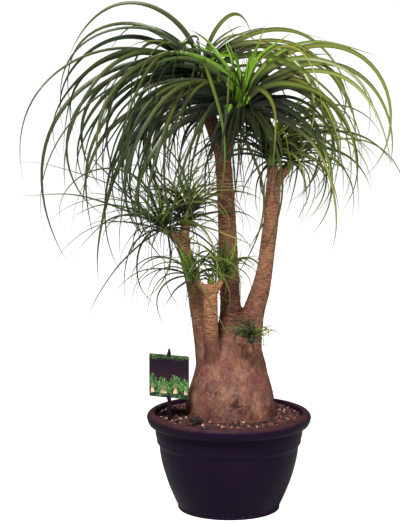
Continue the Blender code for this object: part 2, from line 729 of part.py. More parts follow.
def fill_pockets(target):
    """Fills the pockets sealed inside a joined solid: of its shells only the outer one, the largest, is kept."""
    form = bmesh.new()
    form.from_mesh(target.data)
    waiting, shells = set(form.faces), []
    while waiting:
        shell, found = set(), [waiting.pop()]
        while found:
            face = found.pop()
            shell.add(face)
            beside = {other for edge in face.edges for other in edge.link_faces} & waiting
            waiting -= beside
            found.extend(beside)
        shells.append(shell)
    outer = max(shells, key=len)
    bmesh.ops.delete(form, geom=[face for face in form.faces if face not in outer], context="FACES")
    form.to_mesh(target.data)
    form.free()


def build_heads():
    """Every rosette on its stem tip, one joined solid each, bent clear of the wood and of each other."""
    green = material("leaf green", (0.055, 0.105, 0.022), 0.5)
    standing = [stacked(caudex_rings()), *[stacked(stem.rings()) for stem in STEMS]]
    cores = {rosette.name: core_solid(rosette) for rosette in ROSETTES}
    for rosette in ROSETTES:
        others = [solid for name, solid in cores.items() if name != rosette.name]
        leaves = grow(rosette, tree_of([*standing, *others]))
        core = add_object(rosette.name, mesh_of(rosette.name, *cores[rosette.name]), green)
        parts = bpy.data.collections.new(f"{rosette.name} leaves")
        bpy.context.scene.collection.children.link(parts)
        for number, solid in enumerate(leaves):
            add_object(f"{rosette.name}_leaf_{number}", mesh_of("leaf", *solid), green, parts)
        fill_pockets(joined(core, parts, "MANIFOLD"))
        standing.extend(leaves)


def main():
    """Clears the scene and builds the plant from the pot up."""
    for thing in list(bpy.data.objects):
        bpy.data.objects.remove(thing)
    build_pot()
    build_trunk()
    build_soil()
    build_label()
    build_heads()


main()
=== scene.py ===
"""Dresses the potted ponytail palm: its bowl, potting mix, grown wood, heads of strap leaves and label.

Metres, +Z up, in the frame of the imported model. The label stands at -X, and -Y is the front.
"""

import functools
import logging
import math
import random
from collections.abc import Callable
from dataclasses import dataclass, replace
from enum import Enum

import bmesh
import bpy
from mathutils import Matrix, Vector, noise
from mathutils.bvhtree import BVHTree
from mathutils.kdtree import KDTree

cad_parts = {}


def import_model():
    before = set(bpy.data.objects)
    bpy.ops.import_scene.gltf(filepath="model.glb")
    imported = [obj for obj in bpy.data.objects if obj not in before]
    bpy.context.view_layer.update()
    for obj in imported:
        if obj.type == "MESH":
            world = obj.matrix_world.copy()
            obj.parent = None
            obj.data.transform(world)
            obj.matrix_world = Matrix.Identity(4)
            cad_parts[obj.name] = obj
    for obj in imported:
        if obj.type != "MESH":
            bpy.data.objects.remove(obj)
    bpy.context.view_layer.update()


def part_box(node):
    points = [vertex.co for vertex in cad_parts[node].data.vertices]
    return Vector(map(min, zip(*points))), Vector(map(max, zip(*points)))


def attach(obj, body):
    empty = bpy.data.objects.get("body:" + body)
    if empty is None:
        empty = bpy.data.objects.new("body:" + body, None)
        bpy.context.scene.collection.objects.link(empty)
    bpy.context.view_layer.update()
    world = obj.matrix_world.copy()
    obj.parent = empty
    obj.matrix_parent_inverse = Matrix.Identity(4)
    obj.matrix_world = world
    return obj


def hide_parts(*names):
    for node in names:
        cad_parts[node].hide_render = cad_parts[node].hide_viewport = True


LOG = logging.getLogger("palm")
BODY = "root"
GAP = 0.0003

Colour = tuple[float, float, float]
Points = list[Vector]
Faces = list[list[int]]
Socket = bpy.types.NodeSocket


def shade(red: int, green: int, blue: int) -> Colour:
    """A linear colour from its display values, 0 to 255."""
    return tuple((part / 255 / 12.92) if part <= 10 else ((part / 255 + 0.055) / 1.055) ** 2.4
                 for part in (red, green, blue))


def smooth_share(value: float, low: float, high: float) -> float:
    """How far a value is from low to high, from 0 to 1, with soft ends."""
    share = min(1.0, max(0.0, (value - low) / (high - low)))
    return share * share * (3 - 2 * share)


# ---------------------------------------------------------------- node sheets


class Sheet:
    """A node tree that is written one node at a time."""

    def __init__(self, tree: bpy.types.NodeTree) -> None:
        """Takes the tree to write on."""
        self.tree = tree

    def feed(self, socket: Socket, value) -> None:
        """Links a socket to another, or sets its value.

        Args:
            socket: The input to feed.
            value: An output socket, a number, a colour, a vector or a name.
        """
        if isinstance(value, bpy.types.NodeSocket):
            self.tree.links.new(value, socket)
        elif socket.type == "RGBA" and len(value) == 3:
            socket.default_value = (*value, 1.0)
        else:
            socket.default_value = value

    def add(self, kind: str, feeds: dict | None = None, **settings) -> bpy.types.Node:
        """Adds a node.

        Args:
            kind: The node's type.
            feeds: What each input gets, by its name or number.
            settings: Properties of the node.

        Returns:
            The node.
        """
        node = self.tree.nodes.new(kind)
        for name, value in settings.items():
            setattr(node, name, value)
        for key, value in (feeds or {}).items():
            self.feed(node.inputs[key], value)
        return node

    def maths(self, operation: str, *values) -> Socket:
        """The result of a Math node on these values."""
        return self.add("ShaderNodeMath", dict(enumerate(values)), operation=operation).outputs[0]

    def times(self, first, second) -> Socket:
        """The product of two values."""
        return self.maths("MULTIPLY", first, second)

    def plus(self, first, second) -> Socket:
        """The sum of two values."""
        return self.maths("ADD", first, second)

    def vector_maths(self, operation: str, *values) -> Socket:
        """The vector result of a Vector Math node on these values."""
        return self.add("ShaderNodeVectorMath", dict(enumerate(values)), operation=operation).outputs[0]

    def span(self, value, low: float, high: float, to_low: float = 0.0, to_high: float = 1.0) -> Socket:
        """A value carried softly from one range to another.

        Args:
            value: What to carry over.
            low: Where the first range starts.
            high: Where the first range ends.
            to_low: The result at low and below it.
            to_high: The result at high and above it.

        Returns:
            The result's socket.
        """
        feeds = {"Value": value, "From Min": low, "From Max": high, "To Min": to_low, "To Max": to_high}
        return self.add("ShaderNodeMapRange", feeds, interpolation_type="SMOOTHSTEP").outputs["Result"]

    def mix(self, share, first, second, blend: str = "MIX") -> Socket:
        """Two colours mixed.

        Args:
            share: How much of the second shows, from 0 to 1.
            first: The colour at 0.
            second: The colour at 1.
            blend: How the second is laid on the first.

        Returns:
            The mixed colour's socket.
        """
        node = self.add("ShaderNodeMix", {"Factor": share}, data_type="RGBA", blend_type=blend)
        self.feed(node.inputs[6], first)
        self.feed(node.inputs[7], second)
        return node.outputs[2]

    def layered(self, colour, layers: tuple) -> Socket:
        """A colour under layers of others.

        Args:
            colour: The colour below them all.
            layers: Each layer's mask and its colour, from the lowest up.

        Returns:
            The resulting colour's socket.
        """
        for mask, over in layers:
            colour = self.mix(mask, colour, over)
        return colour

    def noise(self, vector, scale, detail: float = 2.0, roughness: float = 0.5) -> Socket:
        """A Noise Texture's value, from about 0.2 to 0.8 round 0.5."""
        feeds = {"Vector": vector, "Scale": scale, "Detail": detail, "Roughness": roughness}
        return self.add("ShaderNodeTexNoise", feeds).outputs[0]

    def attribute(self, name: str, output: str = "Fac") -> Socket:
        """The value of one of the mesh's own attributes."""
        return self.add("ShaderNodeAttribute", attribute_name=name).outputs[output]

    def place(self) -> Socket:
        """Object coordinates, in metres."""
        return self.add("ShaderNodeTexCoord").outputs["Object"]

    def upward(self) -> Socket:
        """How far a face looks up, from -1 to 1."""
        normal = self.add("ShaderNodeNewGeometry").outputs["Normal"]
        return self.add("ShaderNodeSeparateXYZ", {0: normal}).outputs["Z"]

    def group(self, tree: bpy.types.NodeTree, feeds: dict) -> Socket:
        """Places a node group with these inputs and gives its first output."""
        return self.add("ShaderNodeGroup", feeds, node_tree=tree).outputs[0]

    def bump(self, height, strength: float, distance: float) -> Socket:
        """A normal roughened by a height from 0 to 1.

        Args:
            height: The height's socket.
            strength: How much of the effect shows.
            distance: The height in metres that 1 stands for.

        Returns:
            The normal's socket.
        """
        feeds = {"Height": height, "Strength": strength, "Distance": distance}
        return self.add("ShaderNodeBump", feeds).outputs["Normal"]


def group_tree(name: str, kind: str, inputs: dict, outputs: dict) -> tuple[Sheet, dict, bpy.types.Node]:
    """Starts a node group with named inputs and outputs.

    Args:
        name: The group's name.
        kind: ShaderNodeTree or GeometryNodeTree.
        inputs: Each input's name with its socket type, and its default where it has one.
        outputs: Each output's name with its socket type.

    Returns:
        The group's sheet, its input sockets by name, and its output node.
    """
    tree = bpy.data.node_groups.new(name, kind)
    for title, (socket_type, default) in inputs.items():
        made = tree.interface.new_socket(title, in_out="INPUT", socket_type=socket_type)
        if default is not None:
            made.default_value = default
    for title, socket_type in outputs.items():
        tree.interface.new_socket(title, in_out="OUTPUT", socket_type=socket_type)
    sheet = Sheet(tree)
    entry = sheet.add("NodeGroupInput")
    leave = sheet.add("NodeGroupOutput")
    return sheet, {socket.name: socket for socket in entry.outputs if socket.name}, leave


class SharedEffects:
    """The shader node groups that several finishes use, each built once."""

    def __init__(self) -> None:
        """Builds every group."""
        self.mottle = self._mottle()
        self.grain = self._grain()
        self.dust = self._dust()

    def mottled(self, sheet: Sheet, place: Socket, scale: float, low: float, high: float) -> Socket:
        """Soft patches on a sheet, cut between two levels of noise."""
        return sheet.group(self.mottle, {"Vector": place, "Scale": scale, "Low": low, "High": high})

    def grained(self, sheet: Sheet, place: Socket, scale: float, stretch: tuple = (1.0, 1.0, 1.0)) -> Socket:
        """Fine grain on a sheet, drawn out along the axes where stretch is small."""
        return sheet.group(self.grain, {"Vector": place, "Scale": scale, "Stretch": stretch})

    @staticmethod
    def _mottle() -> bpy.types.NodeTree:
        """Soft patches: a mask from 0 to 1 of this scale, cut between two levels of noise.

        Returns:
            The group.
        """
        sheet, entry, leave = group_tree("mottle", "ShaderNodeTree", {
            "Vector": ("NodeSocketVector", None), "Scale": ("NodeSocketFloat", 40.0),
            "Low": ("NodeSocketFloat", 0.4), "High": ("NodeSocketFloat", 0.6),
        }, {"Mask": "NodeSocketFloat"})
        patches = sheet.noise(entry["Vector"], entry["Scale"], 4.0, 0.6)
        cut = {"Value": patches, "From Min": entry["Low"], "From Max": entry["High"]}
        sheet.feed(leave.inputs[0], sheet.add("ShaderNodeMapRange", cut).outputs["Result"])
        return sheet.tree

    @staticmethod
    def _grain() -> bpy.types.NodeTree:
        """Fine grain drawn out one way: a height from 0 to 1.

        Returns:
            The group.
        """
        sheet, entry, leave = group_tree("grain", "ShaderNodeTree", {
            "Vector": ("NodeSocketVector", None), "Scale": ("NodeSocketFloat", 400.0),
            "Stretch": ("NodeSocketVector", (1.0, 1.0, 1.0)),
        }, {"Height": "NodeSocketFloat"})
        drawn = sheet.vector_maths("MULTIPLY", entry["Vector"], entry["Stretch"])
        sheet.feed(leave.inputs[0], sheet.noise(drawn, entry["Scale"], 3.0, 0.65))
        return sheet.tree

    @staticmethod
    def _dust() -> bpy.types.NodeTree:
        """Dust and dried mix: a mask that is strongest on faces that look up.

        Returns:
            The group.
        """
        sheet, entry, leave = group_tree("dust", "ShaderNodeTree", {
            "Vector": ("NodeSocketVector", None), "Scale": ("NodeSocketFloat", 60.0),
            "Amount": ("NodeSocketFloat", 0.5),
        }, {"Mask": "NodeSocketFloat"})
        patches = sheet.span(sheet.noise(entry["Vector"], entry["Scale"], 5.0, 0.7), 0.25, 0.65, 0.35, 1.0)
        lying = sheet.span(sheet.upward(), 0.0, 0.9, 0.04, 1.0)
        sheet.feed(leave.inputs[0], sheet.times(sheet.times(patches, lying), entry["Amount"]))
        return sheet.tree


def new_finish(name: str) -> tuple[bpy.types.Material, Sheet, bpy.types.Node]:
    """Starts a material.

    Args:
        name: The material's name.

    Returns:
        The material, its sheet and its Principled node.
    """
    made = bpy.data.materials.new(name)
    made.use_nodes = True
    return made, Sheet(made.node_tree), made.node_tree.nodes["Principled BSDF"]


@dataclass(frozen=True)
class PlasticFinish:
    """Moulded plastic with a fine grain, dulled in patches and dusty where it faces up."""

    name: str
    base: Colour
    worn: Colour
    dust: Colour
    dust_amount: float
    roughness: float
    splash: float
    gloss: float

    def material(self, effects: SharedEffects) -> bpy.types.Material:
        """Builds the finish.

        Args:
            effects: The shared node groups.

        Returns:
            The material.
        """
        made, sheet, shader = new_finish(self.name)
        place = sheet.place()
        patches = effects.mottled(sheet, place, 14.0, 0.40, 0.66)
        dust = sheet.group(effects.dust, {"Vector": place, "Scale": 75.0, "Amount": self.dust_amount})
        specks = effects.mottled(sheet, place, 230.0, 0.60, 0.68)
        height = sheet.add("ShaderNodeSeparateXYZ", {0: place}).outputs["Z"]
        low = sheet.span(height, 0.004, 0.030, self.splash, 0.0)
        lying = sheet.times(dust, sheet.span(height, 0.150, 0.170, 0.15, 1.0))
        marks = sheet.maths("MAXIMUM", lying, sheet.times(specks, low))
        colour = sheet.mix(sheet.times(patches, 0.6), self.base, self.worn)
        sheet.feed(shader.inputs["Base Color"], sheet.mix(marks, colour, self.dust))
        rough = sheet.plus(sheet.times(patches, 0.08), self.roughness)
        sheet.feed(shader.inputs["Roughness"], sheet.plus(rough, sheet.times(marks, 0.3)))
        grain = effects.grained(sheet, place, 900.0)
        sheet.feed(shader.inputs["Normal"], sheet.bump(grain, 0.25, 0.0003))
        shader.inputs["Specular IOR Level"].default_value = self.gloss
        return made


@dataclass(frozen=True)
class BarkFinish:
    """Corky bark: the tint of each stretch of wood under patches, streaks along the grain and dark scars."""

    name: str
    cork: Colour
    ash: Colour
    crack: Colour
    pale: Colour

    def material(self, effects: SharedEffects) -> bpy.types.Material:
        """Builds the finish; the mesh brings its tint, its scars and how far it is stem instead of foot.

        Args:
            effects: The shared node groups.

        Returns:
            The material.
        """
        made, sheet, shader = new_finish(self.name)
        place = sheet.place()
        tint = sheet.attribute("tint", "Color")
        scar = sheet.attribute("scar")
        stemness = sheet.attribute("stemness")
        patches = effects.mottled(sheet, place, 19.0, 0.46, 0.64)
        bloom = effects.mottled(sheet, place, 26.0, 0.52, 0.70)
        blotches = effects.mottled(sheet, place, 60.0, 0.44, 0.68)
        streaks = effects.grained(sheet, place, 260.0, (1.0, 1.0, 0.16))
        fibres = effects.grained(sheet, place, 760.0, (1.0, 1.0, 0.28))
        bands = effects.grained(sheet, place, 300.0, (0.30, 0.30, 1.6))
        specks = effects.mottled(sheet, place, 210.0, 0.60, 0.72)
        foot = sheet.maths("SUBTRACT", 1.0, stemness)

        def by_place(mask: Socket, on_stem: float, on_foot: float) -> Socket:
            """A mask with one strength on the stems and another on the foot."""
            return sheet.times(mask, sheet.span(foot, 0, 1, on_stem, on_foot))

        colour = sheet.layered(tint, (
            (by_place(patches, 0.40, 0.55), self.cork),
            (by_place(blotches, 0.22, 0.45), self.ash),
            (by_place(bloom, 0.0, 0.35), self.pale),
            (by_place(sheet.span(streaks, 0.34, 0.50, 0.80, 0.0), 0.35, 0.62), self.crack),
            (sheet.span(fibres, 0.48, 0.70, 0.0, 0.60), self.cork),
            (by_place(specks, 0.10, 0.55), self.pale),
            (sheet.times(sheet.span(fibres, 0.30, 0.42, 0.55, 0.0), foot), self.crack),
            (sheet.times(sheet.span(bands, 0.36, 0.50, 0.55, 0.0), stemness), self.crack),
            (sheet.times(sheet.span(bands, 0.52, 0.68, 0.0, 0.50), stemness), self.pale),
            (scar, self.crack),
        ))
        sheet.feed(shader.inputs["Base Color"], colour)
        sheet.feed(shader.inputs["Roughness"], sheet.span(fibres, 0.3, 0.7, 0.92, 0.72))
        relief = sheet.plus(sheet.times(streaks, 0.7), sheet.times(fibres, 0.5))
        sheet.feed(shader.inputs["Normal"], sheet.bump(relief, 0.8, 0.0012))
        shader.inputs["Specular IOR Level"].default_value = 0.2
        return made


@dataclass(frozen=True)
class LeafFinish:
    """Strap-leaf green: bright where young, olive where old, bluish below; painted shade below and inside,
    painted light on top.
    """

    name: str
    heart: Colour
    fresh: Colour
    full: Colour
    # The pale stripe down a leaf's middle, also laid as painted light on faces that look up.
    stripe_and_top_light: Colour
    # The underside's own bluish green, darkened as painted shade.
    under: Colour
    base: Colour
    # Painted shade: near black, for the bases of older leaves and the inside of a head.
    deep: Colour
    dry: Colour

    def material(self, effects: SharedEffects) -> bpy.types.Material:
        """Builds the finish; the mesh brings each blade's age, tone, side and distance along it.

        Args:
            effects: The shared node groups.

        Returns:
            The material.
        """
        made, sheet, shader = new_finish(self.name)
        place = sheet.place()
        age, along = sheet.attribute("age"), sheet.attribute("along")
        tone, rib = sheet.attribute("tone"), sheet.attribute("rib")
        centre = sheet.maths("ABSOLUTE", rib)
        grown = sheet.mix(sheet.span(age, 0.10, 0.60), self.fresh, self.full)
        patches = effects.mottled(sheet, place, 55.0, 0.35, 0.75)
        gloom = sheet.attribute("gloom")
        striped = sheet.times(sheet.span(centre, 0.15, 0.75), sheet.span(tone, 0.15, 0.85, 0.08, 0.90))
        # Painted light: faces that look up are paler, in the stripe's colour.
        facing_up = sheet.span(sheet.upward(), 0.1, 0.9, 0.0, 0.65)
        painted_top_light = sheet.times(facing_up, sheet.span(patches, 0.0, 1.0, 0.7, 1.0))
        # Painted shade: the lower part of older leaves, inside the head, goes near black.
        sunk = sheet.times(sheet.span(along, 0.05, 0.55, 0.92, 0.0), sheet.span(age, 0.22, 0.50))
        heart = sheet.times(sheet.span(age, 0.14, 0.28, 1.0, 0.0), sheet.span(along, 0.5, 1.0, 1.0, 0.4))
        glowing = sheet.mix(sheet.span(centre, 0.1, 0.9, 0.35, 0.0), self.heart, self.full)
        young = sheet.times(sheet.span(along, 0.0, 0.07, 1.0, 0.0), sheet.span(age, 0.18, 0.34, 0.8, 0.1))
        tip = sheet.times(sheet.span(along, 0.93, 1.0), sheet.span(tone, 0.30, 0.60))
        # The underside layer is partly the leaf's own colour and partly painted shade; both layers of the
        # deep colour are painted shade.
        colour = sheet.layered(grown, (
            (striped, self.stripe_and_top_light), (sheet.span(rib, -0.04, 0.0, 0.80, 0.0), self.under), (painted_top_light, self.stripe_and_top_light),
            (sunk, self.deep), (sheet.times(gloom, 0.92), self.deep), (heart, glowing), (young, self.base),
            (tip, self.dry),
        ))
        sheet.feed(shader.inputs["Base Color"], colour)
        veins = sheet.maths("SINE", sheet.times(rib, 40.0))
        height = sheet.span(veins, -1.0, 1.0)
        sheet.feed(shader.inputs["Normal"], sheet.bump(height, 0.25, 0.0002))
        gloss = sheet.span(patches, 0.0, 1.0, 0.34, 0.46)
        sheet.feed(shader.inputs["Roughness"], sheet.plus(gloss, sheet.times(gloom, 0.45)))
        shader.inputs["Specular IOR Level"].default_value = 0.38
        return made


@dataclass(frozen=True)
class MixFinish:
    """Potting mix, bark chips or perlite: crumbs of one colour broken up by others."""

    name: str
    dark: Colour
    mid: Colour
    light: Colour
    share: float
    scale: float
    rough: float

    def material(self, effects: SharedEffects) -> bpy.types.Material:
        """Builds the finish.

        Args:
            effects: The shared node groups.

        Returns:
            The material.
        """
        made, sheet, shader = new_finish(self.name)
        place = sheet.place()
        patches = effects.mottled(sheet, place, self.scale, 0.38, 0.62)
        crumbs = effects.mottled(sheet, place, self.scale * 3.1, 1.0 - self.share, 1.08 - self.share)
        colour = sheet.layered(self.dark, ((patches, self.mid), (crumbs, self.light)))
        sheet.feed(shader.inputs["Base Color"], colour)
        sheet.feed(shader.inputs["Roughness"], sheet.span(patches, 0, 1, self.rough, self.rough - 0.18))
        grain = effects.grained(sheet, place, self.scale * 4)
        sheet.feed(shader.inputs["Normal"], sheet.bump(grain, 0.7, 0.0010))
        return made


@dataclass(frozen=True)
class CardFinish:
    """A printed card: a dark field with a strip of foliage above and a row of small tufted trees below.

    trees holds each tree's place across the card, the height of its crown, its reach and its stalk's half
    width, as shares of the card's width and height.
    """

    name: str
    field: Colour
    shadow: Colour
    leaf: Colour
    leaf_light: Colour
    stalk: Colour
    foot: Colour
    trees: tuple = ((0.08, 0.36, 0.18, 0.030), (0.36, 0.30, 0.19, 0.065), (0.66, 0.37, 0.20, 0.032),
                    (0.92, 0.33, 0.18, 0.028))

    def material(self, effects: SharedEffects, card: "PlantLabel") -> bpy.types.Material:
        """Builds the finish on the card's own width and height.

        Args:
            effects: The shared node groups.
            card: The label that wears it, for its place and sizes.

        Returns:
            The material.
        """
        made, sheet, shader = new_finish(self.name)
        settled = sheet.add("ShaderNodeMapping", {
            "Vector": sheet.place(), "Location": (*card.place, card.bottom), "Rotation": (0.0, 0.0, card.yaw),
        }, vector_type="TEXTURE").outputs[0]
        parts = sheet.add("ShaderNodeSeparateXYZ", {0: settled})
        across = sheet.plus(sheet.maths("DIVIDE", parts.outputs["X"], card.width), 0.5)
        up = sheet.maths("DIVIDE", parts.outputs["Z"], card.height)
        normal = sheet.add("ShaderNodeNewGeometry").outputs["Normal"]
        front = (math.sin(card.yaw), -math.cos(card.yaw), 0.0)
        facing = sheet.add("ShaderNodeVectorMath", {0: normal, 1: front}, operation="DOT_PRODUCT")
        printed = sheet.maths("GREATER_THAN", facing.outputs["Value"], 0.5)
        tone = effects.mottled(sheet, settled, 330.0, 0.40, 0.62)
        ragged = sheet.maths("SUBTRACT", sheet.noise(settled, 150.0, 3.0, 0.7), 0.5)
        green = sheet.mix(tone, self.leaf, self.leaf_light)
        colour = sheet.mix(sheet.span(up, 0.45, 0.85), self.field, self.shadow)
        for tree in self.trees:
            crown, strokes, stalk = self._tree(sheet, across, up, ragged, tree)
            layers = ((stalk, self.stalk), (sheet.times(crown, 0.75), self.leaf), (strokes, green))
            colour = sheet.layered(colour, layers)
        above = sheet.plus(up, sheet.times(ragged, 0.30))
        strip = sheet.times(sheet.span(above, 0.88, 0.97), sheet.span(tone, 0.1, 0.6, 0.25, 0.85))
        colour = sheet.mix(strip, colour, sheet.mix(0.5, green, self.leaf))
        marks = sheet.times(sheet.span(ragged, 0.02, 0.10), 0.45)
        foot = sheet.mix(marks, self.foot, self.leaf_light)
        colour = sheet.mix(sheet.span(up, 0.095, 0.115, 1.0, 0.0), colour, foot)
        sheet.feed(shader.inputs["Base Color"], sheet.mix(printed, self.field, colour))
        sheet.feed(shader.inputs["Roughness"], sheet.span(tone, 0, 1, 0.40, 0.50))
        shader.inputs["Specular IOR Level"].default_value = 0.15
        grain = effects.grained(sheet, settled, 1500.0)
        sheet.feed(shader.inputs["Normal"], sheet.bump(grain, 0.12, 0.0002))
        return made

    @staticmethod
    def _tree(sheet: Sheet, across: Socket, up: Socket, ragged: Socket,
              tree: tuple) -> tuple[Socket, Socket, Socket]:
        """One small tree of the card's picture.

        Args:
            sheet: The sheet to write on.
            across: The share of the card's width.
            up: The share of the card's height.
            ragged: Noise round 0, which breaks up every edge.
            tree: The tree's place, crown height, reach and half width.

        Returns:
            The masks of its crown, of the bright strokes in the crown, and of its stalk.
        """
        place, root, reach, girth = tree
        x = sheet.times(sheet.maths("SUBTRACT", across, place), 0.8)
        sag = sheet.times(sheet.times(x, x), 7.0)
        z = sheet.plus(sheet.maths("SUBTRACT", up, root), sag)
        far = sheet.maths("SQRT", sheet.plus(sheet.times(x, x), sheet.times(z, z)))
        far = sheet.plus(far, sheet.times(ragged, 0.30))
        crown = sheet.span(far, reach * 0.70, reach, 1.0, 0.0)
        turn = sheet.plus(sheet.times(sheet.maths("ARCTAN2", z, x), 15.0), sheet.times(ragged, 22.0))
        strokes = sheet.times(sheet.span(sheet.maths("SINE", turn), -0.1, 0.6), crown)
        off = sheet.plus(sheet.maths("ABSOLUTE", x), sheet.times(ragged, 0.06))
        flare = sheet.span(up, 0.10, 0.20, girth, girth * 0.7)
        side = sheet.span(sheet.maths("SUBTRACT", off, flare), 0.0, 0.018, 1.0, 0.0)
        return crown, strokes, sheet.times(side, sheet.span(up, root - 0.06, root, 1.0, 0.0))


class Finishes:
    """Every finish on the plant and its pot, made once."""

    def __init__(self) -> None:
        """Builds the shared groups and the materials that more than one piece can ask for."""
        self.effects = SharedEffects()
        self.pot = PlasticFinish(
            "pot_plastic", shade(19, 8, 31), shade(27, 13, 29), shade(82, 50, 45), 0.55, 0.46, 0.8, 0.06
        ).material(self.effects)
        self.stake = PlasticFinish(
            "stake_plastic", shade(19, 15, 26), shade(30, 24, 36), shade(80, 66, 62), 0.10, 0.40, 0.0, 0.10
        ).material(self.effects)
        self.bark = BarkFinish(
            "trunk_bark", shade(138, 94, 70), shade(112, 88, 85), shade(42, 20, 17), shade(178, 136, 106)
        ).material(self.effects)
        # The leaf's under colour is partly painted shade, its deep colour is painted shade, and its stripe
        # colour is also painted light on faces that look up.
        self.leaf = LeafFinish(
            "leaf_green", heart=shade(104, 146, 28), fresh=shade(74, 98, 32), full=shade(44, 62, 20),
            stripe_and_top_light=shade(142, 138, 62), under=shade(16, 36, 20), base=shade(104, 124, 50),
            deep=shade(3, 13, 5), dry=shade(112, 84, 52),
        ).material(self.effects)
        self.mix = MixFinish(
            "potting_mix", shade(20, 5, 5), shade(62, 28, 24), shade(134, 88, 76), 0.34, 150.0, 0.95
        ).material(self.effects)
        self.chip = MixFinish(
            "bark_chips", shade(26, 6, 5), shade(82, 36, 28), shade(184, 128, 106), 0.41, 62.0, 0.90
        ).material(self.effects)
        self.perlite = MixFinish(
            "perlite", shade(150, 104, 92), shade(190, 148, 132), shade(216, 184, 170), 0.45, 200.0, 0.90
        ).material(self.effects)
        self.lump = MixFinish(
            "bark_lump", shade(8, 5, 6), shade(24, 13, 12), shade(84, 46, 38), 0.34, 130.0, 0.96
        ).material(self.effects)


# ---------------------------------------------------------------- meshes


def mesh_of(name: str, points: Points, faces: Faces) -> bpy.types.Mesh:
    """A mesh of these points and faces.

    Args:
        name: The mesh's name.
        points: Its points.
        faces: The points of each face by number, anticlockwise seen from outside.

    Returns:
        The mesh.
    """
    made = bpy.data.meshes.new(name)
    made.from_pydata([tuple(point) for point in points], [], faces)
    made.validate()
    return made


def add_object(name: str, mesh: bpy.types.Mesh, finish: bpy.types.Material | None = None) -> bpy.types.Object:
    """A mesh as a named object of the scene.

    Args:
        name: The object's name.
        mesh: Its mesh.
        finish: Its material, where it has one.

    Returns:
        The object.
    """
    made = bpy.data.objects.new(name, mesh)
    if finish is not None:
        mesh.materials.clear()
        mesh.materials.append(finish)
    bpy.context.scene.collection.objects.link(made)
    return made


def settle(target: bpy.types.Object, smooth_angle: float | None = None) -> bpy.types.Object:
    """Turns an object's evaluated result into its plain mesh, with no modifiers left.

    Args:
        target: The object.
        smooth_angle: The degrees below which edges are shaded smooth, or None to leave shading alone.

    Returns:
        The object.
    """
    graph = bpy.context.evaluated_depsgraph_get()
    seen = target.evaluated_get(graph)
    result = bpy.data.meshes.new_from_object(seen, preserve_all_data_layers=True, depsgraph=graph)
    target.modifiers.clear()
    target.data = result
    if smooth_angle is not None:
        smooth_below(result, smooth_angle)
    return target


def smooth_below(mesh: bpy.types.Mesh, angle: float) -> None:
    """Shades a mesh smooth, but for the edges sharper than this angle in degrees."""
    mesh.shade_smooth()
    mesh.set_sharp_from_angle(angle=math.radians(angle))


def stacked(rings: list[Points]) -> tuple[Points, Faces]:
    """A closed solid through rings of points, each anticlockwise seen from above and of equal count.

    Args:
        rings: The rings from the lowest up; a ring of one point is a pole.

    Returns:
        The solid's points and faces.
    """
    points, faces, starts = [], [], []
    for ring in rings:
        starts.append(len(points))
        points.extend(ring)
    for (low, low_at), (high, high_at) in zip(zip(rings, starts), zip(rings[1:], starts[1:])):
        count = max(len(low), len(high))
        for i in range(count):
            j = (i + 1) % count
            corners = [low_at + i, low_at + j, high_at + j, high_at + i]
            if len(low) == 1:
                corners = [low_at, high_at + j, high_at + i]
            elif len(high) == 1:
                corners = [low_at + i, low_at + j, high_at]
            faces.append(corners)
    if len(rings[0]) > 1:
        faces.append(list(reversed(range(len(rings[0])))))
    if len(rings[-1]) > 1:
        faces.append(list(range(starts[-1], starts[-1] + len(rings[-1]))))
    return points, faces


def ring_at(radius: float, height: float, sides: int) -> Points:
    """A level ring round the Z axis, or the one point of a pole.

    Args:
        radius: The ring's radius.
        height: Its height.
        sides: How many points it has.

    Returns:
        The ring's points.
    """
    if radius == 0:
        return [Vector((0, 0, height))]
    turns = (2 * math.pi * i / sides for i in range(sides))
    return [Vector((radius * math.cos(turn), radius * math.sin(turn), height)) for turn in turns]


def ring_about(middle: Vector, radius: float, side: Vector, across: Vector, sides: int) -> Points:
    """A ring of points round a middle, in the plane of two directions."""
    turns = (2 * math.pi * i / sides for i in range(sides))
    return [middle + radius * (math.cos(turn) * side + math.sin(turn) * across) for turn in turns]


def offsets(start: tuple, *steps: tuple) -> list[tuple[float, float]]:
    """Points of a section at these steps outwards and upwards from a start."""
    return [(start[0] + out, start[1] + up) for out, up in steps]


def curve_through(way: list[Vector], pitch: float) -> list[Vector]:
    """Points about a pitch apart on a smooth curve through these; anything after x, y and z is carried along.

    Args:
        way: The points to go through.
        pitch: The distance between points.

    Returns:
        The curve's points, the last of them the way's last.
    """
    padded = [2 * way[0] - way[1], *way, 2 * way[-1] - way[-2]]
    found = []
    for a, b, c, d in zip(padded, padded[1:], padded[2:], padded[3:]):
        pieces = max(1, round((c - b).xyz.length / pitch))
        for k in range(pieces):
            t = k / pieces
            found.append(0.5 * (2 * b + (c - a) * t + (2 * a - 5 * b + 4 * c - d) * t**2
                                + (3 * b - a - 3 * c + d) * t**3))
    return [*found, way[-1]]


def joined(solids: list[tuple[Points, Faces]]) -> tuple[Points, Faces]:
    """Several solids as one list of points and one of faces.

    Args:
        solids: The points and faces of each.

    Returns:
        The points and faces of all.
    """
    points, faces = [], []
    for some_points, some_faces in solids:
        start = len(points)
        points.extend(some_points)
        faces.extend([[start + i for i in face] for face in some_faces])
    return points, faces


def tree_of(solids: list[tuple[Points, Faces]]) -> BVHTree:
    """A search tree over several solids."""
    return BVHTree.FromPolygons(*joined(solids))


def mesh_from(form: bmesh.types.BMesh, name: str) -> bpy.types.Mesh:
    """A bmesh as a mesh of this name; the bmesh is freed."""
    mesh = bpy.data.meshes.new(name)
    form.to_mesh(mesh)
    form.free()
    return mesh


# ---------------------------------------------------------------- geometry node trees


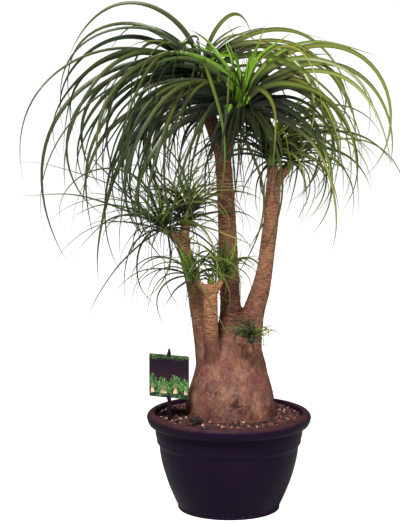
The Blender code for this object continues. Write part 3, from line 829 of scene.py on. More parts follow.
def deliver(sheet: Sheet, geometry: Socket, finish: Socket, leave: bpy.types.Node) -> None:
    """Ends a Geometry Nodes tree: instances become plain geometry, which gets its material.

    Args:
        sheet: The tree's sheet.
        geometry: What the tree has made.
        finish: The material's socket.
        leave: The tree's output node.
    """
    whole = sheet.add("GeometryNodeRealizeInstances", {"Geometry": geometry}).outputs[0]
    dressed = sheet.add("GeometryNodeSetMaterial", {"Geometry": whole, "Material": finish})
    sheet.feed(leave.inputs[0], dressed.outputs[0])


class BladeSweep:
    """A Geometry Nodes tree that sweeps a folded blade along every spine of a mesh of edges.

    Each point of a spine brings "up", the blade's upper side there, "half", half its width, and its looks.
    """

    SMOOTH_ANGLE = 50

    def __init__(self) -> None:
        """Builds the tree."""
        sheet, entry, leave = group_tree("blade_sweep", "GeometryNodeTree", {
            "Geometry": ("NodeSocketGeometry", None), "Fold": ("NodeSocketFloat", 0.30),
            "Thickness": ("NodeSocketFloat", 0.16), "Finish": ("NodeSocketMaterial", None),
        }, {"Geometry": "NodeSocketGeometry"})
        self.tree = sheet.tree
        spines = sheet.add("GeometryNodeMeshToCurve", {"Mesh": entry["Geometry"]}).outputs[0]
        up = sheet.add("GeometryNodeInputNamedAttribute", {"Name": "up"}, data_type="FLOAT_VECTOR").outputs[0]
        turned = sheet.add("GeometryNodeSetCurveNormal", {"Curve": spines, "Normal": up}, mode="FREE")
        half = sheet.add("GeometryNodeInputNamedAttribute", {"Name": "half"}, data_type="FLOAT").outputs[0]
        sunk = sheet.times(entry["Fold"], -1.0)
        keel = sheet.maths("SUBTRACT", sunk, entry["Thickness"])
        corners = {"Point 1": (-1.0, 0.0, 0.0), "Point 3": (1.0, 0.0, 0.0)}
        section = sheet.add("GeometryNodeCurvePrimitiveQuadrilateral", corners, mode="POINTS")
        for title, depth in (("Point 2", keel), ("Point 4", sunk)):
            sheet.feed(section.inputs[title], sheet.add("ShaderNodeCombineXYZ", {"Y": depth}).outputs[0])
        corner = sheet.add("GeometryNodeInputIndex").outputs[0]
        upper = sheet.maths("COMPARE", corner, 3.0, 0.1)
        lower = sheet.maths("COMPARE", corner, 1.0, 0.1)
        rib = sheet.maths("SUBTRACT", upper, lower)
        marked = sheet.add("GeometryNodeStoreNamedAttribute", {
            "Geometry": section.outputs[0], "Name": "rib", "Value": rib,
        }, data_type="FLOAT", domain="POINT").outputs[0]
        blades = sheet.add("GeometryNodeCurveToMesh", {
            "Curve": turned.outputs[0], "Profile Curve": marked, "Scale": half, "Fill Caps": True,
        }).outputs[0]
        smooth = sheet.add("GeometryNodeSetShadeSmooth", {"Geometry": blades}).outputs[0]
        deliver(sheet, smooth, entry["Finish"], leave)

    def apply(self, spines: bpy.types.Object, finish: bpy.types.Material, fold: float,
              thickness: float) -> None:
        """Sweeps the blades and leaves the plain mesh on the object.

        Args:
            spines: The object whose mesh holds the spines.
            finish: The blades' material.
            fold: How deep the blade is folded, as a share of half its width.
            thickness: How thick its middle is, as a share of half its width.
        """
        set_inputs(spines, self.tree, {"Fold": fold, "Thickness": thickness, "Finish": finish})
        settle(spines, self.SMOOTH_ANGLE)


class Scatter:
    """A Geometry Nodes tree that strews shapes of a collection over a surface."""

    def __init__(self) -> None:
        """Builds the tree."""
        sheet, entry, leave = group_tree("scatter", "GeometryNodeTree", {
            "Geometry": ("NodeSocketGeometry", None), "Shapes": ("NodeSocketCollection", None),
            "Density": ("NodeSocketFloat", 9000.0), "Smallest": ("NodeSocketFloat", 0.002),
            "Largest": ("NodeSocketFloat", 0.006), "Tilt": ("NodeSocketFloat", 0.6),
            "Seed": ("NodeSocketInt", 1), "Finish": ("NodeSocketMaterial", None),
        }, {"Geometry": "NodeSocketGeometry"})
        self.tree = sheet.tree
        spread = sheet.add("GeometryNodeDistributePointsOnFaces", {
            "Mesh": entry["Geometry"], "Density": entry["Density"], "Seed": entry["Seed"],
        }, distribute_method="RANDOM")
        shapes = sheet.add("GeometryNodeCollectionInfo", {
            "Collection": entry["Shapes"], "Separate Children": True, "Reset Children": True,
        }).outputs[0]
        lean = sheet.times(entry["Tilt"], -1.0)
        lowest, highest = (
            sheet.add("ShaderNodeCombineXYZ", {"X": tilt, "Y": tilt, "Z": spin}).outputs[0]
            for tilt, spin in ((lean, 0.0), (entry["Tilt"], 6.283)))
        turn = sheet.add("FunctionNodeRandomValue", {0: lowest, 1: highest, "Seed": entry["Seed"]},
                         data_type="FLOAT_VECTOR").outputs[0]
        size = sheet.add("FunctionNodeRandomValue", {
            2: entry["Smallest"], 3: entry["Largest"], "Seed": entry["Seed"],
        }, data_type="FLOAT").outputs[1]
        laid = sheet.add("GeometryNodeInstanceOnPoints", {
            "Points": spread.outputs["Points"], "Instance": shapes, "Pick Instance": True,
            "Rotation": sheet.add("FunctionNodeEulerToRotation", {0: turn}).outputs[0], "Scale": size,
        }).outputs[0]
        deliver(sheet, laid, entry["Finish"], leave)

    def apply(self, ground: bpy.types.Object, inputs: dict) -> None:
        """Strews shapes over an object's mesh, by the tree's named inputs, and leaves a plain mesh."""
        set_inputs(ground, self.tree, inputs)
        settle(ground)


def set_inputs(target: bpy.types.Object, tree: bpy.types.NodeTree, values: dict) -> None:
    """Puts a Geometry Nodes tree on an object and sets its inputs by their identifiers.

    Args:
        target: The object.
        tree: The tree.
        values: What each named input gets.
    """
    modifier = target.modifiers.new(tree.name, "NODES")
    modifier.node_group = tree
    sockets = {item.name: item.identifier for item in tree.interface.items_tree if item.in_out == "INPUT"}
    for name, value in values.items():
        modifier[sockets[name]] = value


# ---------------------------------------------------------------- pot


@dataclass
class Pot:
    """The nursery bowl: a curved wall, a step, a plain band and a rolled rim with a hollow underside."""

    foot_radius: float = 0.0935
    foot_height: float = 0.006
    wall: float = 0.0024
    floor: float = 0.0034
    bowl_top: float = 0.118
    bowl_radius: float = 0.1275
    bowl_swell: float = 0.0345
    bowl_power: float = 1.6
    bowl_stations: int = 26
    step: tuple[float, float] = (0.1322, 0.1255)
    band: tuple = ((0.1347, 0.1400), (0.1362, 0.1545))
    drains: int = 5
    drain_radius: float = 0.006
    drain_circle: float = 0.060
    drain_sides: int = 28
    rim: tuple[float, float] = (0.0100, 0.0095)
    corner: float = 0.0006
    sides: int = 144
    smooth_angle: float = 34

    def bowl_at(self, height: float) -> float:
        """The bowl's outer radius at a height below the step."""
        share = (self.bowl_top - height) / (self.bowl_top - self.foot_height)
        return self.bowl_radius - self.bowl_swell * share**self.bowl_power

    def outline(self) -> list[tuple[float, float]]:
        """The pot's section, from the middle of the underside round the wall to the middle of the floor.

        Returns:
            The (radius, height) points.
        """
        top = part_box("pot")[1]
        start = self.foot_height + 0.002
        height = self.bowl_top - start
        heights = [start + height * k / (self.bowl_stations - 1) for k in range(self.bowl_stations)]
        bowl = [(self.bowl_at(height), height) for height in heights]
        low, band = self.band
        shoulder = [
            *offsets(bowl[-1], (0.0018, 0.0030)),
            *offsets(self.step, (-0.0010, -0.0022), (-0.0002, -self.corner), (0, self.corner),
                     (0.0001, 0.0030)),
            *offsets(low, (-0.0012, -0.0050), (-0.0002, -0.0012), (0, 0.0010)),
        ]
        under = [
            *offsets(band, (0, 0), (0.0002, 0.0120), (0.0012, 0.0160), (0.0040, 0.0182)),
            *offsets((top.x, band[1]), (-0.0050, 0.0174), (-0.0068, 0.0140), (-0.0075, 0.0052),
                     (-0.0070, 0.0034), (-0.0060, 0.0031), (-0.0046, 0.0040), (-0.0018, 0.0088)),
        ]
        reach, rise = self.rim
        turns = [math.radians(turn) for turn in range(0, 126, 9)]
        over = offsets((top.x - reach, top.z - rise),
                       *((reach * math.cos(turn), rise * math.sin(turn)) for turn in turns))
        inside = [(band[0] - self.wall + 0.0004, top.z - 0.0060)]
        upper = [(radius - self.wall, z + self.wall / 2) for radius, z in (band, low, self.step)]
        lower = [(radius - self.wall, height) for radius, height in reversed(bowl)]
        foot = [
            (0, 0), *offsets((self.foot_radius, 0), (-0.0030, 0), (-0.0010, 0.0004), (0, 0.0016)),
            *offsets((self.foot_radius, self.foot_height), (0.0001, -0.0010), (-0.0004, 0)),
        ]
        floor = [(lower[-1][0] - 0.0030, self.floor), (0, self.floor)]
        return [*foot, *bowl, *shoulder, *under, *over, *inside, *upper, *lower, *floor]

    def build(self, finishes: Finishes) -> list[bpy.types.Object]:
        """Builds the bowl with its drain holes.

        Args:
            finishes: The object's finishes.

        Returns:
            The pieces.
        """
        rings = [ring_at(radius, height, self.sides) for radius, height in self.outline()]
        bowl = add_object("pot_bowl", mesh_of("pot_bowl", *stacked(rings)), finishes.pot)
        drills = []
        for hole in range(self.drains):
            angle = 2 * math.pi * (hole + 0.5) / self.drains
            centre = Vector((self.drain_circle * math.cos(angle), self.drain_circle * math.sin(angle), 0))
            rounds = [[point + centre for point in ring_at(self.drain_radius, height, self.drain_sides)]
                      for height in (-0.01, 0.02)]
            drill = add_object(f"drill_{hole}", mesh_of("drill", *stacked(rounds)))
            cut = bowl.modifiers.new("drain", "BOOLEAN")
            cut.operation, cut.object, cut.solver = "DIFFERENCE", drill, "MANIFOLD"
            drills.append(drill)
        settle(bowl, self.smooth_angle)
        for drill in drills:
            bpy.data.objects.remove(drill)
        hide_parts("pot")
        return [bowl]


# ---------------------------------------------------------------- trunk


class BarkTone(Enum):
    """The colours that stretches of the bark have."""

    FOOT = shade(92, 52, 45)
    RUSSET = shade(112, 66, 56)
    UMBER = shade(102, 58, 51)
    BRICK = shade(108, 62, 40)
    TAN = shade(144, 100, 70)
    AMBER = shade(160, 108, 70)
    ROSE = shade(146, 88, 68)
    STRAW = shade(164, 122, 78)
    # Painted shade: the near-black brown that the head stems get under the leaves.
    HUSK = shade(46, 30, 20)


@dataclass(frozen=True)
class Stem:
    """A stem or branch: (x, y, z, radius) stations from its root in the wood to its tip, and its bark's look.

    rings is how deep its old leaf rings are cut, from 0 to 1, and pitch is how far apart they are.
    """

    name: str
    way: tuple
    low: BarkTone = BarkTone.RUSSET
    high: BarkTone = BarkTone.RUSSET
    rings: float = 0.5
    pitch: float = 0.0055

    def stations(self, pitch: float) -> list[Vector]:
        """Points with radii along the stem, about a pitch apart."""
        return curve_through([Vector(point) for point in self.way], pitch)

    def tip(self) -> tuple[Vector, Vector, float]:
        """The point, direction and radius of the tip."""
        last, before = Vector(self.way[-1]), Vector(self.way[-2])
        return last.xyz, (last - before).xyz.normalized(), last.w

    def rings_of(self, pitch: float, sides: int) -> list[Points]:
        """The stem's rings of points.

        Args:
            pitch: The distance between rings.
            sides: How many points each has.

        Returns:
            The rings, from the root to the tip.
        """
        stations = self.stations(pitch)
        rings = []
        side = Vector((0, 1, 0))
        for k, station in enumerate(stations):
            ahead = stations[min(k + 1, len(stations) - 1)]
            behind = stations[max(k - 1, 0)]
            along = self.tip()[1] if k == len(stations) - 1 else (ahead - behind).xyz.normalized()
            side = (side - along * side.dot(along)).normalized()
            rings.append(ring_about(station.xyz, station.w, side, along.cross(side), sides))
        return rings


STEMS = (
    Stem("left", (
        (-0.0340, 0.004, 0.262, 0.0270), (-0.0405, 0.004, 0.305, 0.0235), (-0.0500, 0.003, 0.350, 0.0192),
        (-0.0560, 0.003, 0.372, 0.0168), (-0.0620, 0.002, 0.405, 0.0150), (-0.0735, 0.000, 0.451, 0.0134),
        (-0.0815, 0.000, 0.480, 0.0126), (-0.0836, 0.000, 0.496, 0.0118),
    ), BarkTone.UMBER, BarkTone.TAN, 0.65),
    Stem("left_upper", (
        (-0.0834, 0.000, 0.486, 0.0112), (-0.0815, 0.002, 0.508, 0.0100), (-0.0785, 0.005, 0.524, 0.0092),
    ), BarkTone.TAN, BarkTone.TAN),
    Stem("left_outer", (
        (-0.0820, 0.000, 0.484, 0.0104), (-0.0940, -0.004, 0.500, 0.0096), (-0.1080, -0.010, 0.511, 0.0088),
    ), BarkTone.TAN, BarkTone.TAN),
    Stem("centre", (
        (0.0000, 0.010, 0.262, 0.0420), (0.0025, 0.012, 0.302, 0.0340), (0.0030, 0.012, 0.332, 0.0255),
        (0.0030, 0.012, 0.368, 0.0200), (0.0012, 0.012, 0.405, 0.0187), (-0.0020, 0.011, 0.478, 0.0178),
        (-0.0060, 0.010, 0.569, 0.0161), (-0.0108, 0.010, 0.633, 0.0153), (-0.0130, 0.010, 0.662, 0.0150),
    ), BarkTone.UMBER, BarkTone.BRICK, 0.90, 0.0060),
    # The two head stems darken upwards into painted shade under the leaves.
    Stem("back_head", (
        (-0.0125, 0.010, 0.650, 0.0142), (-0.0270, 0.017, 0.692, 0.0136), (-0.0400, 0.024, 0.732, 0.0132),
        (-0.0480, 0.030, 0.772, 0.0130),
    ), BarkTone.BRICK, BarkTone.HUSK, 0.8),
    Stem("front_head", (
        (-0.0125, 0.010, 0.648, 0.0142), (-0.0010, -0.006, 0.684, 0.0136), (0.0140, -0.022, 0.718, 0.0134),
    ), BarkTone.BRICK, BarkTone.HUSK, 0.8),
    Stem("right", (
        (0.0300, 0.006, 0.262, 0.0310), (0.0340, 0.006, 0.308, 0.0270), (0.0400, 0.005, 0.342, 0.0228),
        (0.0462, 0.004, 0.370, 0.0202), (0.0570, 0.004, 0.405, 0.0178), (0.0645, 0.004, 0.4415, 0.0150),
        (0.0690, 0.004, 0.478, 0.0146), (0.0755, 0.004, 0.533, 0.0142), (0.0785, 0.004, 0.578, 0.0142),
        (0.0800, 0.004, 0.604, 0.0136),
    ), BarkTone.RUSSET, BarkTone.TAN, 0.90, 0.0052),
    Stem("right_head", (
        (0.0797, 0.004, 0.594, 0.0124), (0.0785, 0.002, 0.616, 0.0115), (0.0768, 0.000, 0.632, 0.0110),
    ), BarkTone.TAN, BarkTone.AMBER),
    Stem("right_outer", (
        (0.0795, 0.004, 0.592, 0.0106), (0.0910, 0.008, 0.610, 0.0098), (0.1030, 0.013, 0.624, 0.0092),
    ), BarkTone.TAN, BarkTone.AMBER),
    Stem("stub", (
        (-0.0260, -0.0120, 0.262, 0.0200), (-0.0300, -0.0320, 0.300, 0.0165),
        (-0.0330, -0.0462, 0.335, 0.0140), (-0.0338, -0.0505, 0.385, 0.0130),
        (-0.0335, -0.0505, 0.424, 0.0124),
    ), BarkTone.FOOT, BarkTone.AMBER, 1.0, 0.0064),
    Stem("stub_left", (
        (-0.0360, -0.0510, 0.404, 0.0072), (-0.0470, -0.0520, 0.4165, 0.0064),
        (-0.0590, -0.0500, 0.4300, 0.0060),
    ), BarkTone.AMBER, BarkTone.STRAW, 0.3),
    Stem("stub_right", (
        (-0.0310, -0.0510, 0.405, 0.0072), (-0.0215, -0.0520, 0.4175, 0.0064),
        (-0.0150, -0.0505, 0.4320, 0.0060),
    ), BarkTone.AMBER, BarkTone.STRAW, 0.3),
    Stem("sprout", (
        (0.0280, -0.0300, 0.290, 0.0110), (0.0360, -0.0500, 0.308, 0.0088), (0.0385, -0.0590, 0.322, 0.0070),
    ), BarkTone.ROSE, BarkTone.ROSE, 0.2),
)

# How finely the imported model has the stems.
COARSE_PITCH = 0.028
COARSE_SIDES = 10

# Short dead shoots, which only the dressed part has.
SNAGS = (
    Stem("peg", (
        (0.0330, -0.0400, 0.303, 0.0070), (0.0372, -0.0560, 0.304, 0.0062), (0.0392, -0.0640, 0.302, 0.0052),
    ), BarkTone.ROSE, BarkTone.STRAW, 0.1),
    Stem("twig", (
        (-0.0790, -0.004, 0.486, 0.0050), (-0.0700, -0.010, 0.500, 0.0030), (-0.0600, -0.014, 0.5120, 0.0018),
    ), BarkTone.STRAW, BarkTone.STRAW, 0.1),
)


def tip_named(name: str) -> tuple[Vector, Vector, float]:
    """The tip of the stem of this name."""
    return next(stem for stem in STEMS if stem.name == name).tip()


@dataclass
class Trunk:
    """The caudex, which is the swollen foot, with all its stems and branches, which grew as one piece."""

    stations: tuple = (
        (0.062, 0.034), (0.075, 0.062), (0.100, 0.079), (0.135, 0.0870), (0.165, 0.0865), (0.188, 0.0830),
        (0.219, 0.0765), (0.248, 0.0684), (0.276, 0.0618), (0.298, 0.0558), (0.312, 0.0440), (0.320, 0.0240),
    )
    lean: float = 0.0045
    flat_from: float = 0.200
    flat_to: float = 0.310
    flattening: float = 0.36
    sides: int = 96
    poles: tuple[float, float] = (0.004, 0.002)
    grow: float = 0.0006
    steps: int = 64
    stem_pitch: float = 0.006
    stem_sides: int = 28
    voxel: float = 0.00195
    soft_rounds: int = 10
    fork_zone: tuple[float, float] = (0.300, 0.345)
    bark_depth: float = 0.0005
    scar_place: tuple[float, float, float] = (0.0100, -0.0740, 0.2050)
    scar_radius: float = 0.0180

    def ring(self, height: float, grow: float = 0.0, sides: int = 32) -> Points:
        """A ring of the caudex: lobed, and flatter from front to back higher up.

        Args:
            height: The ring's height.
            grow: How far to move it outwards.
            sides: How many points it has.

        Returns:
            The ring's points.
        """
        base = self.stations[-1][1]
        for (low, r_low), (high, r_high) in zip(self.stations, self.stations[1:]):
            if height <= high:
                share = max(0.0, (height - low) / (high - low))
                base = r_low + (r_high - r_low) * share
                break
        risen = min(1.0, max(0.0, (height - self.flat_from) / (self.flat_to - self.flat_from)))
        depth = 1 - self.flattening * risen
        found = []
        for i in range(sides):
            angle = 2 * math.pi * i / sides
            lobes = 0.020 * math.cos(3 * angle + 0.7 + 6 * height) + 0.013 * math.cos(5 * angle - 14 * height)
            reach = base * (1 + lobes) + grow
            x, y = self.lean + reach * math.cos(angle), reach * depth * math.sin(angle)
            found.append(Vector((x, y, height)))
        return found

    def coarse(self) -> list[tuple[Points, Faces]]:
        """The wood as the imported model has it, for telling what a leaf would cut through.

        Returns:
            The solids of the caudex and of each stem.
        """
        heights = [height for height, _ in self.stations]
        caudex = self.closed([self.ring(height) for height in heights])
        return [caudex, *[stacked(stem.rings_of(COARSE_PITCH, COARSE_SIDES)) for stem in STEMS]]

    def closed(self, rings: list[Points]) -> tuple[Points, Faces]:
        """The solid of these rings of the caudex, closed by a pole below and above."""
        low = Vector((self.lean, 0, self.stations[0][0] - self.poles[0]))
        high = Vector((self.lean, 0, self.stations[-1][0] + self.poles[1]))
        return stacked([[low], *rings, [high]])

    def merged(self) -> bpy.types.Object:
        """The caudex and its stems grown into one smooth surface.

        Returns:
            The object, with no finish yet.
        """
        low, high = self.stations[0][0], self.stations[-1][0]
        heights = [low + (high - low) * k / self.steps for k in range(self.steps + 1)]
        caudex = self.closed([self.ring(height, self.grow, self.sides) for height in heights])
        stems = [stacked(stem.rings_of(self.stem_pitch, self.stem_sides)) for stem in (*STEMS, *SNAGS)]
        wood = add_object("trunk_wood", mesh_of("trunk_wood", *joined([caudex, *stems])))
        remesh = wood.modifiers.new("grow_together", "REMESH")
        remesh.mode, remesh.voxel_size, remesh.use_smooth_shade = "VOXEL", self.voxel, True
        soften = wood.modifiers.new("soften", "SMOOTH")
        soften.factor, soften.iterations = 0.5, self.soft_rounds
        return settle(wood)

    def weather(self, wood: bpy.types.Object) -> None:
        """Gives the wood its fissures, leaf rings and scar, and the tints that its finish reads.

        Args:
            wood: The merged wood.
        """
        marks = [(stem, station, stem_share, run) for stem in (*STEMS, *SNAGS)
                 for station, stem_share, run in self._run(stem)]
        tree = KDTree(len(marks))
        for number, (_, station, _, _) in enumerate(marks):
            tree.insert(station.xyz, number)
        tree.balance()
        mesh = wood.data
        tints, scars, stem_parts = [], [], []
        normals = [vert.normal.copy() for vert in mesh.vertices]
        for vert, normal in zip(mesh.vertices, normals):
            spot = vert.co.copy()
            near = min(tree.find_n(spot, 14), key=lambda found: found[2] - marks[found[1]][1].w)
            stem, station, share, run = marks[near[1]]
            stem_part = smooth_share(spot.z, *self.fork_zone)
            colour = Vector(BarkTone.FOOT.value).lerp(self._stem_colour(stem, share), stem_part)
            dark, relief = self._foot_relief(spot)
            rings_dark, rings_relief = self._ring_relief(stem, spot, run, share)
            dark = dark * (1 - stem_part) + rings_dark * stem_part
            relief = relief * (1 - stem_part) + rings_relief * stem_part
            hollow, ray = self._scar_relief(spot)
            patch = noise.noise(spot * 20) * 0.30 + noise.noise(spot * 75) * 0.16
            colour = colour * (1 + patch)
            tints.extend((*colour, 1.0))
            scars.append(min(1.0, max(dark, ray)))
            stem_parts.append(stem_part)
            vert.co = spot + normal * (relief + hollow - self.bark_depth)
        mesh.attributes.new("tint", "FLOAT_COLOR", "POINT").data.foreach_set("color", tints)
        mesh.attributes.new("scar", "FLOAT", "POINT").data.foreach_set("value", scars)
        mesh.attributes.new("stemness", "FLOAT", "POINT").data.foreach_set("value", stem_parts)

    @staticmethod
    def _run(stem: Stem) -> list[tuple[Vector, float, float]]:
        """Fine stations of a stem, each with its share of the length and its distance from the root.

        Args:
            stem: The stem.

        Returns:
            The (station, share, distance) rows.
        """
        stations = stem.stations(0.002)
        runs = [0.0]
        for before, after in zip(stations, stations[1:]):
            runs.append(runs[-1] + (after - before).xyz.length)
        return [(station, run / runs[-1], run) for station, run in zip(stations, runs)]

    @staticmethod
    def _stem_colour(stem: Stem, share: float) -> Vector:
        """The stem's tint at a share of its length."""
        return Vector(stem.low.value).lerp(Vector(stem.high.value), smooth_share(share, 0.15, 0.75))

    @staticmethod
    def _foot_relief(spot: Vector) -> tuple[float, float]:
        """The caudex's fissures, which run upwards, and its soft lumps.

        Args:
            spot: The place on the wood.

        Returns:
            How dark the place is, from 0 to 1, and its height in metres.
        """
        warp = noise.noise(spot * 22) * 0.010
        coarse = noise.noise(Vector(((spot.x + warp) * 62, (spot.y + warp) * 62, spot.z * 8)))
        fine = noise.noise(Vector((spot.x * 190, spot.y * 190, spot.z * 30)))
        fissure = smooth_share(-coarse, 0.20, 0.50)
        lumps = noise.noise(spot * 17) * 0.0012
        crust = smooth_share(0.212 - spot.z + 0.022 * noise.noise(spot * 45), 0.0, 0.030)
        crumb = noise.noise(spot * 260)
        dark = 0.34 * fissure + 0.22 * smooth_share(-fine, 0.2, 0.6) + crust * (0.30 + 0.40 * crumb)
        return dark, lumps - 0.0007 * fissure + 0.0004 * fine + 0.0009 * crust * crumb

    @staticmethod
    def _ring_relief(stem: Stem, spot: Vector, run: float, share: float) -> tuple[float, float]:
        """The rings that old leaves left round a stem.

        Args:
            stem: The stem.
            spot: The place on the wood.
            run: The distance along the stem.
            share: The share of its length.

        Returns:
            How dark the place is, from 0 to 1, and its height in metres.
        """
        seed = Vector((len(stem.name) * 3.1, 0.0, run * 60))
        wave = run / stem.pitch + 0.55 * noise.noise(seed) + 0.50 * noise.noise(spot * 85)
        edge = abs((wave % 1.0) - 0.5) * 2
        groove = smooth_share(edge, 0.62, 1.0) * smooth_share(noise.noise(spot * 48) + 0.35, 0.0, 0.45)
        cell = noise.noise(spot * 150)
        strength = stem.rings * (0.45 + 0.55 * smooth_share(share, 0.1, 0.6))
        flecks = smooth_share(noise.noise(spot * 110 + Vector((5, 2, 9))), 0.34, 0.55)
        relief = strength * (0.0003 - 0.0010 * groove) + 0.00025 * cell
        return strength * (0.75 * groove + 0.40 * flecks), relief

    def _scar_relief(self, spot: Vector) -> tuple[float, float]:
        """The knot scar low on the front of the caudex, with cracks running out of it.

        Args:
            spot: The place on the wood.

        Returns:
            Its height in metres, and how dark the place is, from 0 to 1.
        """
        off = spot - Vector(self.scar_place)
        ragged = 1 + 0.45 * noise.noise(spot * 70) + 0.25 * noise.noise(spot * 190)
        far = Vector((off.x, off.y, off.z * 0.75)).length / (self.scar_radius * ragged)
        if far >= 1 or spot.y > -0.04:
            return 0.0, 0.0
        turn = math.atan2(off.z, off.x)
        rays = 0.5 + 0.5 * math.sin(turn * 5 + 5.0 * noise.noise(spot * 55) + 2.0 * noise.noise(spot * 150))
        core = smooth_share(1 - far, 0.45, 0.80)
        crack = rays**2 * smooth_share(1 - far, 0.02, 0.55)
        return -0.0026 * core - 0.0010 * crack, max(0.95 * core, crack)

    def build(self, finishes: Finishes) -> list[bpy.types.Object]:
        """Builds and dresses the wood.

        Args:
            finishes: The object's finishes.

        Returns:
            The pieces.
        """
        wood = self.merged()
        self.weather(wood)
        wood.data.materials.clear()
        wood.data.materials.append(finishes.bark)
        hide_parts("trunk")
        return [wood]


# ---------------------------------------------------------------- potting mix


@dataclass
class PottingMix:
    """The mix that fills the bowl: a rough mound towards the trunk, strewn with bark chips and perlite."""

    trunk: Trunk
    at_wall: float = 0.1700
    at_foot: float = 0.1765
    wall_radius: float = 0.1330
    mound_from: float = 0.1362
    mound_to: float = 0.086
    relief: float = 0.0030
    sides: int = 200
    turns: int = 34
    depth: float = 0.040
    taper: float = 0.004
    strewn_over: float = 0.0004
    lump_place: tuple[float, float, float] = (-0.0600, -0.0790, 0.1790)
    lump_size: tuple[float, float, float] = (0.0115, 0.0085, 0.0080)

    def height_at(self, point: Vector) -> float:
        """The mix's surface.

        Args:
            point: A place on it.

        Returns:
            Its height there.
        """
        reach = point.xy.length
        share = min(1.0, max(0.0, (self.mound_from - reach) / (self.mound_from - self.mound_to)))
        mound = self.at_wall + (self.at_foot - self.at_wall) * share
        flat = Vector((point.x, point.y, 0))
        crumbs = noise.noise(flat * 160) * 0.5 + noise.noise(flat * 420) * 0.35
        heaps = noise.noise(flat * 48) * 0.6
        return mound + self.relief * (0.15 + 0.55 * crumbs + 0.5 * heaps)

    def surface(self) -> list[Points]:
        """The rings of the mix's surface, from the wall in to the trunk.

        Returns:
            The rings.
        """
        outer = ring_at(self.wall_radius, self.at_wall, self.sides)
        inner = self.trunk.ring(self.at_foot - 0.001, -0.0015, self.sides)
        rings = []
        for k in range(self.turns + 1):
            ring = [start.lerp(end, k / self.turns) for start, end in zip(outer, inner)]
            for point in ring:
                point.z = self.height_at(point)
            rings.append(ring)
        return rings

    def chips(self, name: str, flatness: tuple[float, float, float], count: int) -> bpy.types.Collection:
        """A few rough shapes to strew.

        Args:
            name: The collection's name.
            flatness: How long, wide and thick they are, as shares of their size.
            count: How many different ones.

        Returns:
            The collection.
        """
        shapes = bpy.data.collections.new(name)
        for number in range(count):
            chance = random.Random(f"{name}/{number}")
            offset = Vector((chance.uniform(0, 9), chance.uniform(0, 9), chance.uniform(0, 9)))
            lump = bmesh.new()
            bmesh.ops.create_icosphere(lump, subdivisions=1, radius=0.5)
            for vert in lump.verts:
                rough = 1 + 0.75 * noise.noise(vert.co * 2.6 + offset)
                vert.co = Vector([c * f * rough for c, f in zip(vert.co, flatness)])
            title = f"{name}_{number}"
            shapes.objects.link(bpy.data.objects.new(title, mesh_from(lump, title)))
        return shapes

    def lump(self, finishes: Finishes) -> bpy.types.Object:
        """The dark lump of bark beside the trunk.

        Args:
            finishes: The object's finishes.

        Returns:
            The piece.
        """
        form = bmesh.new()
        bmesh.ops.create_icosphere(form, subdivisions=4, radius=1.0)
        for vert in form.verts:
            start = vert.co.copy()
            rough = 1 + 0.16 * noise.noise(start * 1.7 + Vector((3.1, 0.4, 7.7)))
            rough += 0.22 * noise.noise(start * 4)
            rough += 0.12 * noise.noise(start * 11) + 0.10 * noise.cell(start * 2.2)
            squared = Vector([math.copysign(abs(part) ** 0.7, part) for part in start])
            vert.co = Vector([part * size * rough * 0.97 for part, size in zip(squared, self.lump_size)])
        mesh = mesh_from(form, "bark_lump")
        turned = Matrix.Rotation(0.6, 4, "Z") @ Matrix.Rotation(0.35, 4, "X")
        mesh.transform(Matrix.Translation(self.lump_place) @ turned)
        made = add_object("bark_lump", mesh, finishes.lump)
        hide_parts("bark_chunk")
        return made

    def ground(self, surface: list[Points]) -> tuple[Points, Faces]:
        """The open sheet that chips are strewn on, a little over the mix and clear of the wall and the trunk.

        Args:
            surface: The rings of the mix's surface.

        Returns:
            The sheet's points and faces.
        """
        points = [point + Vector((0, 0, self.strewn_over)) for ring in surface[2:-1] for point in ring]
        faces = []
        for at in range(0, len(points) - self.sides, self.sides):
            up = at + self.sides
            for i in range(self.sides):
                j = (i + 1) % self.sides
                faces.append([at + i, at + j, up + j, up + i])
        return points, faces

    def build(self, finishes: Finishes, scatter: Scatter) -> list[bpy.types.Object]:
        """Builds the mix, its chips, its perlite and the lump.

        Args:
            finishes: The object's finishes.
            scatter: The tree that strews shapes.

        Returns:
            The pieces.
        """
        surface = self.surface()
        bottom = ring_at(self.wall_radius - self.taper, self.at_wall - self.depth, self.sides)
        foot = [Vector((point.x, point.y, self.at_wall - self.depth)) for point in surface[-1]]
        body = mesh_of("potting_mix", *stacked([bottom, *surface, foot]))
        mix = add_object("potting_mix", body, finishes.mix)
        mix.data.shade_smooth()
        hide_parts("soil")
        pieces = [mix, self.lump(finishes)]
        chips = self.chips("chip", (1.0, 0.62, 0.34), 5)
        grains = self.chips("grain", (1.0, 0.85, 0.75), 3)
        strewn = {
            "bark_chips": {"Shapes": chips, "Density": 15000.0, "Smallest": 0.0040, "Largest": 0.0165,
                           "Tilt": 0.8, "Seed": 5, "Finish": finishes.chip},
            "perlite_grains": {"Shapes": grains, "Density": 2200.0, "Smallest": 0.0018, "Largest": 0.0060,
                               "Tilt": 1.5, "Seed": 11, "Finish": finishes.perlite},
        }
        for name, inputs in strewn.items():
            made = add_object(name, mesh_of(name, *self.ground(surface)))
            scatter.apply(made, inputs)
            pieces.append(made)
        return pieces


# ---------------------------------------------------------------- label


